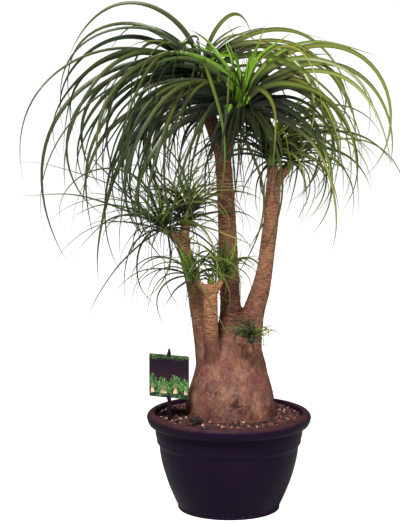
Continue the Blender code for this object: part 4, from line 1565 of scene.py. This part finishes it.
@dataclass
class PlantLabel:
    """A printed card with no lettering, held by a stake behind it that hooks over its edges."""

    width: float = 0.079
    height: float = 0.079
    thickness: float = 0.0010
    corner: float = 0.003
    bottom: float = 0.2155
    place: tuple[float, float] = (-0.1085, -0.0460)
    yaw: float = math.radians(-24)
    stake_width: float = 0.0075
    stake_thickness: float = 0.0030
    stake_foot: float = 0.100
    neck_width: float = 0.0036
    hook: float = 0.0014
    hook_reach: float = 0.0030
    neck_height: float = 0.0075
    knob: float = 0.0022
    knob_seat: float = 0.6
    edge: float = 0.0002
    bevel: float = 0.00035
    smooth_angle: float = 40

    def pose(self) -> Matrix:
        """How the label's own frame is turned and moved to where the label stands."""
        return Matrix.Translation((*self.place, 0)) @ Matrix.Rotation(self.yaw, 4, "Z")

    def settled(self, mesh: bpy.types.Mesh) -> bpy.types.Mesh:
        """The mesh moved from the label's own frame to where the label stands."""
        mesh.transform(self.pose())
        return mesh

    def card(self, finishes: Finishes) -> bpy.types.Object:
        """The card, with round corners and softened edges.

        Args:
            finishes: The object's finishes.

        Returns:
            The piece.
        """
        outline = []
        for x_sign, z_sign, first in ((1, -1, -90), (1, 1, 0), (-1, 1, 90), (-1, -1, 180)):
            middle_x = x_sign * (self.width / 2 - self.corner)
            middle_z = self.bottom + self.height / 2 + z_sign * (self.height / 2 - self.corner)
            for turn in range(0, 91, 15):
                angle = math.radians(first + turn)
                x, z = middle_x + self.corner * math.cos(angle), middle_z + self.corner * math.sin(angle)
                outline.append((x, z))
        middle = Vector((0, 0, self.bottom + self.height / 2))
        rings = []
        edge = self.edge
        for y, inset in ((0, edge), (-edge, 0), (-self.thickness + edge, 0), (-self.thickness, edge)):
            ring = [Vector((x, y - GAP, z)) for x, z in outline]
            rings.append([point + (middle - point).normalized() * inset for point in ring])
        finish = CardFinish(
            "label_print", field=shade(40, 19, 31), shadow=shade(25, 12, 27), leaf=shade(34, 66, 30),
            leaf_light=shade(128, 176, 96), stalk=shade(218, 182, 148), foot=shade(26, 48, 36),
        ).material(finishes.effects, self)
        sheet = self.settled(mesh_of("label_card_sheet", *stacked(rings)))
        made = add_object("label_card_sheet", sheet, finish)
        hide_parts("label_card")
        return made

    def stake(self, finishes: Finishes) -> bpy.types.Object:
        """The stake with its two hooks, its pointed foot and a knob on top.

        Args:
            finishes: The object's finishes.

        Returns:
            The piece.
        """
        low, high = self.bottom - GAP, self.bottom + self.height + GAP
        lip = -(self.thickness + 2 * GAP)
        face = lip - self.hook
        back, foot = self.stake_thickness, self.stake_foot
        reach, top = self.hook_reach, high + self.neck_height
        outline = [
            (0, foot + 0.012), (back / 2, foot), (back, foot + 0.012), (back, top - 0.0020),
            (back - 0.0012, top), (face + 0.0012, top), (face, top - 0.0020), (face, high - reach),
            (lip, high - reach), (lip, high), (0, high), (0, low), (lip, low), (lip, low + reach),
            (face, low + reach), (face, low - reach + 0.001), (face + 0.001, low - reach), (0, low - reach),
        ]
        count = len(outline)
        points = []
        for sign in (-1, 1):
            for y, z in outline:
                width = self.neck_width if z > high + 0.001 else self.stake_width
                points.append(Vector((sign * width / 2, y, z)))
        faces = [list(reversed(range(count))), list(range(count, 2 * count))]
        for i in range(count):
            j = (i + 1) % count
            faces.append([i, j, count + j, count + i])
        made = add_object("label_stake_strip", self.settled(mesh_of("stake", points, faces)), finishes.stake)
        bevel = made.modifiers.new("edges", "BEVEL")
        bevel.width, bevel.segments, bevel.limit_method = self.bevel, 2, "ANGLE"
        settle(made, self.smooth_angle)
        knob = bmesh.new()
        knob.from_mesh(made.data)
        head = Vector((0, (face + back) / 2, top + self.knob * self.knob_seat))
        turned = self.pose() @ Matrix.Translation(head)
        bmesh.ops.create_icosphere(knob, subdivisions=3, radius=self.knob, matrix=turned)
        knob.to_mesh(made.data)
        knob.free()
        smooth_below(made.data, self.smooth_angle)
        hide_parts("label_stake")
        return made

    def build(self, finishes: Finishes) -> list[bpy.types.Object]:
        """Builds the label's two pieces."""
        return [self.card(finishes), self.stake(finishes)]


# ---------------------------------------------------------------- leaves

# A blade: its keel's depth, and how its width grows from its base and runs out to its tip.
LEAF_KEEL = 0.0011
KEEL_SHARE = 0.36
BASE_WIDTH = 0.60
BASE_SHARE = 0.20
TIP_POWER = 1.9

# How a rosette grows: where its leaves root on the core, how they turn round it and how much they vary.
GOLDEN_ANGLE = math.pi * (3 - math.sqrt(5))
PATH_STEPS = 28
ROOT_REACH = (0.12, 0.45)
ROOT_HEIGHT = (0.90, 0.22)
YOUNG_SHARE = 0.30
YOUNG_POWER = 1.5
YOUNG_WIDTH = 0.85
OLD_SHORTER = 0.25
RISE_POWER = 1.5
LENGTHS = (0.75, 1.10)
WIDTHS = (0.45, 1.15)
HEADING_SWAY = 0.3
RISE_SWAY = 12.0
END_SWAY = 35.0
DRIFT = 0.6
TWIST = 0.9
STIFFNESS_SWAY = 0.35
STRAND_AGE = 0.30
STRAND_TWIST = 0.4

# How a leaf is bent clear of what stands round it: the gap it keeps, how often and how far it is turned.
LEAF_CLEARANCE = 0.0010
LEAF_FLOOR = 0.312
TRIES = 24
NUDGE = 0.03
NUDGE_LIFT = 15.0
STRAND_NUDGE = 0.5

# The leaves that only the dressed heads have: how much more unevenly they lie and how steeply they may rise.
MORE_LOOSE = 1.7
STEEPEST = 96.0

# The slight waves of a leaf: their size as a share of its length, how many it has, and how those up and down
# follow those from side to side.
WAVE, WAVES = 0.026, 1.4
LIFT_LAG, LIFT_SHARE = 3, 0.5

# How leaves look: the age below which one stays bright, in heads whose youngest look is below the second
# value, how strongly the shade inside a head shows on the palest and the deepest leaf, how far below the
# head's root it has its middle and how soon it is full, both as shares of its reach, and the age that a bud
# looks.
HEART_AGE, HEART_YOUNGEST = 0.1, 0.5
GLOOM_TONES = (0.55, 1.0)
GLOOM_SINK, GLOOM_FULL = 0.3, 0.40
BUD_AGE = 0.25
THINNEST = 0.00012

# The short leaves that hang before a stem's top: their first heading and the turn that they fill, in degrees,
# their rise, end and stiffness, their lengths, and the step from one leaf's tone to the next one's.
SKIRT_FROM, SKIRT_TURN = -172, 164
SKIRT_ARCH = (6, -90, 0.55)
SKIRT_LENGTHS = (0.085, 0.135)
TONE_STEP = 0.382

# The space before the heart of the front head that further leaves keep out of.
HEART_WINDOW = ((-0.020, -0.300, 0.738), (0.052, -0.050, 0.860))


@dataclass(frozen=True)
class Leaf:
    """One strap leaf: points along it, the direction across it at each, its greatest width, and its looks."""

    points: tuple
    across: tuple
    width: float
    age: float = 0.0
    tone: float = 0.5

    def half_at(self, share: float) -> float:
        """Half the leaf's width at a share of its length."""
        base = between((BASE_WIDTH, 1), min(1, share / BASE_SHARE))
        return 0.5 * self.width * base * (1 - share**TIP_POWER)

    def waved(self) -> list[Vector]:
        """The leaf's points with the slight waves that a long soft leaf has, stronger towards its tip."""
        last = len(self.points) - 1
        swing = WAVE * last * (self.points[1] - self.points[0]).length
        course = []
        for at, point in enumerate(self.points):
            share = at / last
            aside = swing * share * math.sin(math.tau * (self.tone + WAVES * share))
            lift = swing * share * math.sin(math.tau * (LIFT_LAG * self.tone + WAVES * share)) * LIFT_SHARE
            course.append(point + self.across[at] * aside + Vector((0, 0, lift)))
        return course

    def solid(self, steps: int, margin: float = 0.0) -> tuple[Points, Faces]:
        """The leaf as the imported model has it: three-sided, flat above and keeled below.

        Args:
            steps: How many lengths it is drawn in.
            margin: How far to grow it.

        Returns:
            Its points and faces.
        """
        stride = PATH_STEPS // steps
        last = len(self.points) - 1
        rings = []
        for at in range(0, steps * stride, stride):
            half = self.half_at(at / last) + margin
            along = (self.points[at + 1] - self.points[max(at - 1, 0)]).normalized()
            under = self.across[at].cross(along)
            keel = max(LEAF_KEEL, KEEL_SHARE * half) + margin
            point = self.points[at] - margin * under
            side = self.across[at] * half
            rings.append([point + side, point - side, point + keel * under])
        return stacked([*rings, [self.points[last]]])


@dataclass(frozen=True)
class Fan:
    """Young leaves that stand up in front of a head, with their broad faces forward.

    place is the middle of their roots, length and width are the middle leaf's, and spread is how far their
    roots reach to each side. headings holds the compass directions of the leftmost and the rightmost leaf.
    rises and ends hold the angles of the outer leaves and of the middle one, and sway how far any angle
    strays. outer is the outer leaves' share of the length, depth how far roots stand before or behind each
    other, and turn how far a leaf drifts and twists. age is how old they look, and lengths and widths how
    much both vary.
    """

    leaves: int
    place: tuple
    length: float
    width: float
    spread: float = 0.010
    headings: tuple = (172, 8)
    rises: tuple = (48, 84)
    ends: tuple = (8, 84)
    sway: float = 9.0
    outer: float = 0.72
    depth: float = 0.003
    turn: float = 0.35
    stiffness: float = 1.4
    age: float = 0.08
    lengths: tuple = (0.85, 1.1)
    widths: tuple = (0.75, 1.1)

    def leaf(self, index: int) -> Leaf:
        """One leaf of the fan, counted from the left."""
        chance = random.Random(f"fan/{self.leaves}/{index}")
        share = (index + 0.5) / self.leaves
        side = 2 * share - 1
        inner = 1 - abs(side)
        heading = between(self.headings, share) + chance.uniform(-self.sway, self.sway)
        rise = between(self.rises, inner) + chance.uniform(-self.sway, self.sway)
        end = between(self.ends, inner) + chance.uniform(-self.sway, self.sway)
        length = self.length * between((self.outer, 1), inner) * chance.uniform(*self.lengths)
        root = Vector(self.place) + Vector((self.spread * side, self.depth * chance.uniform(-1, 1), 0))
        drift = self.turn * chance.uniform(-1, 1)
        twist = self.turn * chance.uniform(-1, 1)
        course = arched(root, math.radians(heading), drift, rise, end, self.stiffness, length, twist)
        return Leaf(*course, self.width * chance.uniform(*self.widths), self.age, chance.random())


@dataclass(frozen=True)
class Dressing:
    """What only the dressed head has, and how its leaves look.

    more is how many further leaves it has, trim the share of their length that they reach and lift how many
    degrees more steeply they rise. gloom is how far the shade inside the head reaches from its core.
    youngest is the least age that its leaves look. loops are further strands and fans the young leaves in
    front. window holds the lowest and highest corners of a space that the further leaves keep out of, if
    there is one. skirt is how many short leaves hang down before the stem.
    """

    more: int
    gloom: float
    youngest: float = 0.0
    trim: float = 1.0
    lift: float = 0.0
    loops: tuple = ()
    fans: tuple = ()
    window: tuple = ()
    skirt: int = 0


@dataclass(frozen=True)
class Rosette:
    """A head of strap leaves on a stem tip.

    Pairs hold the value for the innermost and the outermost leaves. rise and end are the angles above level
    at which a leaf starts and ends, in degrees. lean is the compass direction that the leaves are drawn to,
    by the share in pull. front and back shorten those that face the front and the back. loose is how unevenly
    they lie. core is the bud's length and its girth as a share of the stem's. strands are the leaves that
    stand out of the head, each as (heading, rise, end, stiffness, length).
    """

    name: str
    stem: str
    leaves: int
    length: tuple
    width: float
    rise: tuple
    end: tuple
    lean: float
    pull: float
    front: float
    back: float
    loose: float
    core: tuple
    steps: int
    strands: tuple = ()

    def root(self, age: float, heading: float) -> Vector:
        """Where a leaf of an age, facing a heading, leaves the core."""
        base, aim, radius = tip_named(self.stem)
        outwards = Vector((math.cos(heading), math.sin(heading), 0))
        reach = radius * self.core[1] * between(ROOT_REACH, age)
        return base + aim * (GAP + self.core[0] * between(ROOT_HEIGHT, age)) + outwards * reach

    def leaf(self, index: int, attempt: int, dressing: Dressing | None = None) -> Leaf:
        """The leaf that the rosette grows at an index, counted from the innermost.

        Args:
            index: Which leaf.
            attempt: Each attempt turns it a little further.
            dressing: Given for a leaf of the further round that only the dressed head has.

        Returns:
            The leaf.
        """
        family = "/more" if dressing else ""
        leaves, trim, lift = self.leaves, 1, 0
        if dressing:
            leaves, trim, lift = dressing.more, dressing.trim, dressing.lift
        loose = self.loose * (MORE_LOOSE if dressing else 1)
        chance = random.Random(f"{self.name}{family}/{index}")
        age = (index + 0.5) / leaves
        grown = min(1.0, age / YOUNG_SHARE) ** YOUNG_POWER
        heading = index * GOLDEN_ANGLE + HEADING_SWAY * chance.uniform(-1, 1)
        heading += self.pull * math.sin(math.radians(self.lean) - heading)
        rise = between(self.rise, age**RISE_POWER) + RISE_SWAY * loose * chance.uniform(-1, 1)
        end = between(self.end, grown) + END_SWAY * loose * chance.uniform(-1, 1)
        length = between(self.length, grown * (1 - OLD_SHORTER * age)) * chance.uniform(*LENGTHS)
        length *= 1 - self.front * max(0.0, -math.sin(heading)) ** 2
        length *= trim * (1 - self.back * max(0.0, math.sin(heading)) ** 2)
        drift = DRIFT * loose * chance.uniform(-1, 1)
        twist = TWIST * chance.uniform(-1, 1)
        stiffness = 1 + STIFFNESS_SWAY * self.loose * chance.uniform(-1, 1)
        width = self.width * chance.uniform(*WIDTHS) * between((YOUNG_WIDTH, 1), grown)
        tone = chance.random()
        nudge = NUDGE * attempt * random.Random(f"{self.name}{family}/{index}/{attempt}").uniform(-1, 1)
        heading += nudge
        rise = min(STEEPEST, rise + lift * age) + NUDGE_LIFT * nudge
        course = arched(self.root(age, heading), heading, drift, rise, end, stiffness, length, twist)
        return Leaf(*course, width, age, tone)

    def strand(self, shape: tuple, attempt: int = 0) -> Leaf:
        """A leaf that stands out of the head; each attempt turns it a little further."""
        heading, rise, end, stiffness, length = shape
        turned = math.radians(heading) + STRAND_NUDGE * NUDGE * attempt * (-1) ** attempt
        course = arched(self.root(STRAND_AGE, turned), turned, 0, rise, end, stiffness, length, STRAND_TWIST)
        return Leaf(*course, self.width, STRAND_AGE, 0.5)


def between(pair: tuple, share: float) -> float:
    """The value a share of the way from the first of a pair to the second."""
    return pair[0] + (pair[1] - pair[0]) * share


def arched(point: Vector, heading: float, drift: float, rise: float, end: float, stiffness: float,
           length: float, twist: float) -> tuple[tuple, tuple]:
    """The course of a leaf that rises from a point and arches over.

    Args:
        point: Where it starts.
        heading: The compass direction it leaves in, in radians.
        drift: How far it turns aside by its tip.
        rise: Its angle above level where it starts, in degrees.
        end: Its angle above level at its tip.
        stiffness: Below 1 it bends early, above 1 late.
        length: Its length.
        twist: How far it is twisted by its tip, in radians.

    Returns:
        The points along it and the directions across it.
    """
    points, across = [point], []
    for k in range(PATH_STEPS):
        share = (k + 0.5) / PATH_STEPS
        pitch = math.radians(rise + (end - rise) * share**stiffness)
        yaw = heading + drift * share
        level = Vector((math.cos(yaw), math.sin(yaw), 0))
        along = level * math.cos(pitch) + Vector((0, 0, math.sin(pitch)))
        side = Vector((0, 0, 1)).cross(level)
        across.append(Matrix.Rotation(twist * share, 3, along) @ side)
        point = point + along * length / PATH_STEPS
        points.append(point)
    across.append(across[-1])
    return tuple(points), tuple(across)


ROSETTES = (
    Rosette("crown_front", "front_head", 50, (0.085, 0.465), 0.0110, (87, 4), (88, -121), -150, 0.18, 0.13,
            0.30, 0.67, (0.034, 1.00), 7, ((0, 80, -138, 1.0, 0.50), (8, 62, -105, 1.0, 0.42))),
    Rosette("crown_back", "back_head", 48, (0.072, 0.527), 0.0100, (65, -23), (14, -131), 195, 0.41, 0.00,
            0.30, 0.80, (0.032, 1.00), 7,
            ((180, 92, -78, 1.0, 0.31), (-4, 78, -85, 1.0, 0.17), (184, 40, -125, 0.75, 0.58))),
    Rosette("crown_right", "right_head", 26, (0.126, 0.271), 0.0070, (86, 35), (30, -85), -13, 0.27, 0.30,
            0.30, 0.60, (0.034, 0.95), 6),
    Rosette("crown_right_fine", "right_outer", 16, (0.09, 0.16), 0.0040, (84, 18), (45, -108), -13, 0.22,
            0.10, 0.30, 1.66, (0.026, 0.75), 5, ((-10, 50, -95, 1.0, 0.30),)),
    Rosette("crown_left", "left_outer", 24, (0.097, 0.338), 0.0042, (84, -23), (43, -56), 255, 0.06, 0.10,
            0.30, 2.10, (0.028, 0.85), 5, ((178, 30, -4, 1.0, 0.27),)),
    Rosette("crown_left_upper", "left_upper", 20, (0.07, 0.12), 0.0042, (86, 15), (52, -77), 47, 0.05, 0.10,
            0.30, 1.15, (0.028, 0.85), 5),
    Rosette("tuft_left_stem", "stub_left", 12, (0.06, 0.23), 0.0042, (80, -14), (50, -92), 203, 0.49, 0.30,
            0.30, 1.70, (0.022, 0.90), 5),
    Rosette("tuft_centre_stem", "stub_right", 13, (0.067, 0.148), 0.0040, (88, 18), (95, -99), 118, 0.56,
            0.20, 0.30, 1.69, (0.022, 0.90), 5),
    Rosette("tuft_stub", "stub", 7, (0.03, 0.075), 0.0036, (85, 40), (40, -60), 90, 0.10, 0.20, 0.00, 1.20,
            (0.014, 0.50), 5),
    Rosette("tuft_base", "sprout", 12, (0.025, 0.062), 0.0032, (85, 10), (20, -110), 165, 0.50, 0.10, 0.00,
            2.20, (0.014, 0.90), 5),
)

DRESSINGS = {
    "crown_front": Dressing(
        60, 0.185, 0.10, 0.95, 0,
        ((-97, 24, -95, 0.45, 0.28), (-74, 20, -94, 0.45, 0.24), (-134, 66, -96, 0.65, 0.46),
         (-42, 68, -96, 0.65, 0.42), (-122, 40, -92, 0.6, 0.36), (-60, 35, -95, 0.5, 0.15),
         (-92, 25, -96, 0.5, 0.17), (-122, 30, -95, 0.5, 0.15), (-75, 10, -92, 0.5, 0.13),
         (-107, 12, -94, 0.5, 0.14), (-145, 20, -92, 0.5, 0.13), (-35, 20, -92, 0.5, 0.13)),
        (Fan(15, (0.006, -0.052, 0.722), 0.112, 0.0165, 0.006, (150, 22), (62, 88), (56, 88)),), HEART_WINDOW,
        16),
    "crown_back": Dressing(
        70, 0.190, 0.34, 1.0, 0,
        ((180, 92, -75, 1.0, 0.350), (-50, 72, -100, 2.0, 0.235), (8, 62, -78, 1.0, 0.36),
         (-118, 50, -96, 0.8, 0.42), (-140, 50, -98, 0.8, 0.46)),
        window=HEART_WINDOW, skirt=12),
    "crown_right": Dressing(40, 0.070, 0.24),
    "crown_right_fine": Dressing(44, 0.040, 0.24, 1.2, 10),
    "crown_left": Dressing(70, 0.050, 0.24, 0.80, 35),
    "crown_left_upper": Dressing(70, 0.050, 0.24, 1.75, 25),
    "tuft_left_stem": Dressing(16, 0.022, 0.12, fans=(
        Fan(12, (-0.0680, -0.056, 0.430), 0.072, 0.0060, 0.008, (150, 40), (70, 84), (70, 96), age=0.22),)),
    "tuft_centre_stem": Dressing(34, 0.022, 0.24, 1.1, 15, fans=(
        Fan(22, (-0.0080, -0.056, 0.434), 0.088, 0.0042, 0.012, (150, 40), (68, 84), (72, 100), age=0.20),)),
    "tuft_stub": Dressing(8, 0.012, 0.20),
    "tuft_base": Dressing(95, 0.024, 0.62, 1.3, -10),
}


@dataclass
class LeafHeads:
    """Every head of leaves, each leaf bent clear of the wood and of the other heads' leaves."""

    trunk: Trunk
    fold: float = 0.30
    thickness: float = 0.14
    bud_sides: int = 20
    box_margin: float = 0.010

    @staticmethod
    def core(rosette: Rosette, sides: int) -> tuple[Points, Faces]:
        """The head's core, where the leaf bases wrap each other: a bud that stands on the stem tip.

        Args:
            rosette: The head.
            sides: How many sides the bud has.

        Returns:
            Its points and faces.
        """
        base, aim, radius = tip_named(rosette.stem)
        side = (Vector((0, 1, 0)) - aim * aim.y).normalized()
        across = aim.cross(side)
        length, girth = rosette.core
        rings = []
        for share, swell in ((0, 0.92), (0.20, 1.10), (0.52, 1.00), (0.82, 0.66), (1.0, 0.32)):
            middle = base + aim * (GAP + length * share)
            rings.append(ring_about(middle, radius * girth * swell, side, across, sides))
        return stacked(rings)

    @staticmethod
    def first_fit(grower: Callable[[int], Leaf], fits: Callable[[Leaf], bool]) -> list[Leaf]:
        """The first attempt at a leaf that stays over the pot and fits.

        Args:
            grower: Grows the leaf of an attempt.
            fits: Tells whether it fits.

        Returns:
            The leaf, in a list that is empty where no attempt fits.
        """
        for leaf in map(grower, range(TRIES)):
            if min(point.z for point in leaf.points) >= LEAF_FLOOR and fits(leaf):
                return [leaf]
        return []

    def grown(self, rosette: Rosette, neighbours: BVHTree) -> list[Leaf]:
        """The rosette's leaves, each the first attempt that clears the neighbours.

        Args:
            rosette: The head.
            neighbours: What its leaves may not touch.

        Returns:
            The leaves; one with no clear attempt is missing.
        """
        def clear(leaf: Leaf) -> bool:
            """Whether a leaf keeps its gap to the neighbours."""
            return not tree_of([leaf.solid(rosette.steps, LEAF_CLEARANCE)]).overlap(neighbours)

        growers = [functools.partial(rosette.strand, shape) for shape in rosette.strands]
        growers += [functools.partial(rosette.leaf, index) for index in range(rosette.leaves)]
        return [leaf for grower in growers for leaf in self.first_fit(grower, clear)]

    def further(self, rosette: Rosette, wood: BVHTree, room: tuple[Vector, Vector]) -> list[Leaf]:
        """The leaves that only the dressed head has.

        Args:
            rosette: The head.
            wood: What they may not cut through.
            room: The lowest and highest corners that they stay within.

        Returns:
            The leaves.
        """
        dressing = DRESSINGS[rosette.name]

        def clear(leaf: Leaf) -> bool:
            """Whether a leaf stays in the room, out of the window and off the wood."""
            if not within(leaf.points, room):
                return False
            if dressing.window and any(within((point,), dressing.window) for point in leaf.points):
                return False
            return not tree_of([leaf.solid(rosette.steps)]).overlap(wood)

        kept = [rosette.strand(shape) for shape in dressing.loops]
        kept += [fan.leaf(index) for fan in dressing.fans for index in range(fan.leaves)]
        for index in range(dressing.skirt):
            heading = SKIRT_FROM + SKIRT_TURN * (index + 0.5) / dressing.skirt
            length = between(SKIRT_LENGTHS, (index * GOLDEN_ANGLE) % 1)
            hanging = rosette.strand((heading, *SKIRT_ARCH, length))
            kept.append(replace(hanging, tone=(0.5 + index * TONE_STEP) % 1))
        for index in range(dressing.more):
            kept += self.first_fit(functools.partial(rosette.leaf, index, dressing=dressing), clear)
        return kept

    @staticmethod
    def spines(rosette: Rosette, leaves: list[Leaf]) -> bpy.types.Object:
        """The leaves' courses as a mesh of edges with what the sweep and the finish read.

        Args:
            rosette: The head.
            leaves: The leaves.

        Returns:
            The object.
        """
        points, edges = [], []
        values = {"half": [], "along": [], "age": [], "tone": [], "gloom": []}
        ups = []
        base = tip_named(rosette.stem)[0]
        dressing = DRESSINGS[rosette.name]
        dark = base - Vector((0, 0, GLOOM_SINK * dressing.gloom))
        for leaf in leaves:
            last = len(leaf.points) - 1
            bright = leaf.age < HEART_AGE and dressing.youngest < HEART_YOUNGEST
            course = leaf.waved()
            for at, point in enumerate(course):
                if at:
                    edges.append((len(points) - 1, len(points)))
                points.append(point)
                ahead = course[min(at + 1, last)] - course[max(at - 1, 0)]
                ups.extend(ahead.normalized().cross(leaf.across[at]))
                share = at / last
                values["half"].append(max(THINNEST, leaf.half_at(share)))
                values["along"].append(share)
                values["age"].append(leaf.age if bright else max(dressing.youngest, leaf.age))
                inside = smooth_share(1 - (point - dark).length / dressing.gloom, 0.0, GLOOM_FULL)
                values["gloom"].append(0.0 if bright else inside * between(GLOOM_TONES, leaf.tone))
                values["tone"].append(leaf.tone)
        mesh = bpy.data.meshes.new(f"{rosette.name}_blades")
        mesh.from_pydata([tuple(point) for point in points], edges, [])
        for title, numbers in values.items():
            mesh.attributes.new(title, "FLOAT", "POINT").data.foreach_set("value", numbers)
        mesh.attributes.new("up", "FLOAT_VECTOR", "POINT").data.foreach_set("vector", ups)
        return add_object(mesh.name, mesh)

    def build(self, finishes: Finishes, sweep: BladeSweep) -> list[bpy.types.Object]:
        """Builds every head.

        Args:
            finishes: The object's finishes.
            sweep: The tree that sweeps the blades.

        Returns:
            The pieces.
        """
        wood = self.trunk.coarse()
        cores = {rosette.name: self.core(rosette, 8) for rosette in ROSETTES}
        nodes = [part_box(rosette.name) for rosette in ROSETTES]
        margin = Vector((1, 1, 1)) * self.box_margin
        room = (Vector(min(low[i] for low, _ in nodes) for i in range(3)) - margin,
                Vector(max(high[i] for _, high in nodes) for i in range(3)) + margin)
        standing, pieces = list(wood), []
        for rosette in ROSETTES:
            others = [solid for name, solid in cores.items() if name != rosette.name]
            leaves = self.grown(rosette, tree_of([*standing, *others]))
            standing.extend(leaf.solid(rosette.steps) for leaf in leaves)
            more = self.further(rosette, tree_of([*wood, *others]), room)
            head = self.spines(rosette, [*leaves, *more])
            sweep.apply(head, finishes.leaf, self.fold, self.thickness)
            self.add_bud(head, rosette)
            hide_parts(rosette.name)
            LOG.info("%s: %d leaves, %d more", rosette.name, len(leaves), len(more))
            pieces.append(head)
        return pieces

    def add_bud(self, head: bpy.types.Object, rosette: Rosette) -> None:
        """Adds the core that the leaves stand in to a head.

        Args:
            head: The head's object.
            rosette: Its rosette.
        """
        bud = mesh_of("bud", *self.core(rosette, self.bud_sides))
        form = bmesh.new()
        form.from_mesh(head.data)
        start = len(form.verts)
        form.from_mesh(bud)
        form.verts.ensure_lookup_table()
        age = form.verts.layers.float["age"]
        for vert in form.verts[start:]:
            vert[age] = max(BUD_AGE, DRESSINGS[rosette.name].youngest)
        form.to_mesh(head.data)
        form.free()
        smooth_below(head.data, BladeSweep.SMOOTH_ANGLE)
        bpy.data.meshes.remove(bud)


def within(points: tuple, room: tuple[Vector, Vector]) -> bool:
    """Whether every point is between the room's lowest and highest corners."""
    low, high = room
    return all(low[i] <= point[i] <= high[i] for point in points for i in range(3))


# ---------------------------------------------------------------- studio


@dataclass
class Studio:
    """A pale floor, plain soft light, and a camera at eye level a little above the crown's middle."""

    floor_radius: float = 9.0
    camera_place: tuple[float, float, float] = (-0.053, -3.2, 0.902)
    camera_fall: float = 7.96
    lens: float = 122.0
    sky: float = 0.09
    backdrop: float = 1.05
    paper_glow: float = 0.92
    lamps: tuple = (
        ("key", (-0.6, -2.3, 3.4), (0, 0, 0.55), 0.9, 285), ("fill", (2.3, -1.6, 1.3), (0, 0, 0.40), 1.6, 30),
    )

    def floor(self) -> bpy.types.Object:
        """The floor, a wide disc.

        Returns:
            The floor.
        """
        ring = ring_at(self.floor_radius, 0.0, 96)
        mesh = mesh_of("floor", ring, [list(range(len(ring)))])
        made, sheet, shader = new_finish("floor_paper")
        paper = sheet.noise(sheet.place(), 3.0)
        sheet.feed(shader.inputs["Base Color"], sheet.mix(paper, (0.55, 0.55, 0.55), (0.58, 0.58, 0.58)))
        shader.inputs["Roughness"].default_value = 0.9
        shader.inputs["Specular IOR Level"].default_value = 0.0
        shader.inputs["Emission Color"].default_value = (1.0, 1.0, 1.0, 1.0)
        seen = sheet.add("ShaderNodeLightPath").outputs["Is Camera Ray"]
        sheet.feed(shader.inputs["Emission Strength"], sheet.times(seen, self.paper_glow))
        floor = add_object("floor", mesh, made)
        return floor

    def lamp(self, name: str, place: tuple, aim: tuple, size: float, power: float) -> bpy.types.Object:
        """A soft square lamp.

        Args:
            name: Its name.
            place: Where it is.
            aim: What it points at.
            size: Its side.
            power: Its power in watts.

        Returns:
            The lamp.
        """
        light = bpy.data.lights.new(name, "AREA")
        light.energy, light.size = power, size
        made = bpy.data.objects.new(name, light)
        made.location = place
        made.rotation_euler = (Vector(aim) - Vector(place)).to_track_quat("-Z", "Y").to_euler()
        bpy.context.scene.collection.objects.link(made)
        return made

    def camera(self) -> bpy.types.Object:
        """The camera.

        Returns:
            The camera.
        """
        lens = bpy.data.cameras.new("camera")
        lens.lens = self.lens
        made = bpy.data.objects.new("camera", lens)
        made.location = self.camera_place
        made.rotation_euler = (math.radians(90 - self.camera_fall), 0, 0)
        bpy.context.scene.collection.objects.link(made)
        bpy.context.scene.camera = made
        return made

    def build(self) -> None:
        """Builds the studio."""
        self.camera()
        self.floor()
        world = bpy.data.worlds.new("studio")
        world.use_nodes = True
        sheet = Sheet(world.node_tree)
        seen = sheet.add("ShaderNodeLightPath").outputs["Is Camera Ray"]
        strength = sheet.maths("MULTIPLY_ADD", seen, self.backdrop - self.sky, self.sky)
        sky = world.node_tree.nodes["Background"]
        sky.inputs["Color"].default_value = (1.0, 1.0, 1.0, 1.0)
        sheet.feed(sky.inputs["Strength"], strength)
        scene = bpy.context.scene
        scene.world = world
        scene.view_settings.view_transform = "Standard"
        for lamp in self.lamps:
            self.lamp(*lamp)


def main() -> None:
    """Builds the plant, its pot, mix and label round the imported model, and the studio."""
    logging.basicConfig(level=logging.INFO, format="%(name)s: %(message)s")
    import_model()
    finishes = Finishes()
    trunk = Trunk()
    pieces = [
        *Pot().build(finishes),
        *trunk.build(finishes),
        *PottingMix(trunk).build(finishes, Scatter()),
        *PlantLabel().build(finishes),
        *LeafHeads(trunk).build(finishes, BladeSweep()),
    ]
    for piece in pieces:
        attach(piece, BODY)
        LOG.info("%s: %d faces", piece.name, len(piece.data.polygons))
    Studio().build()


if __name__ == "__main__":
    main()
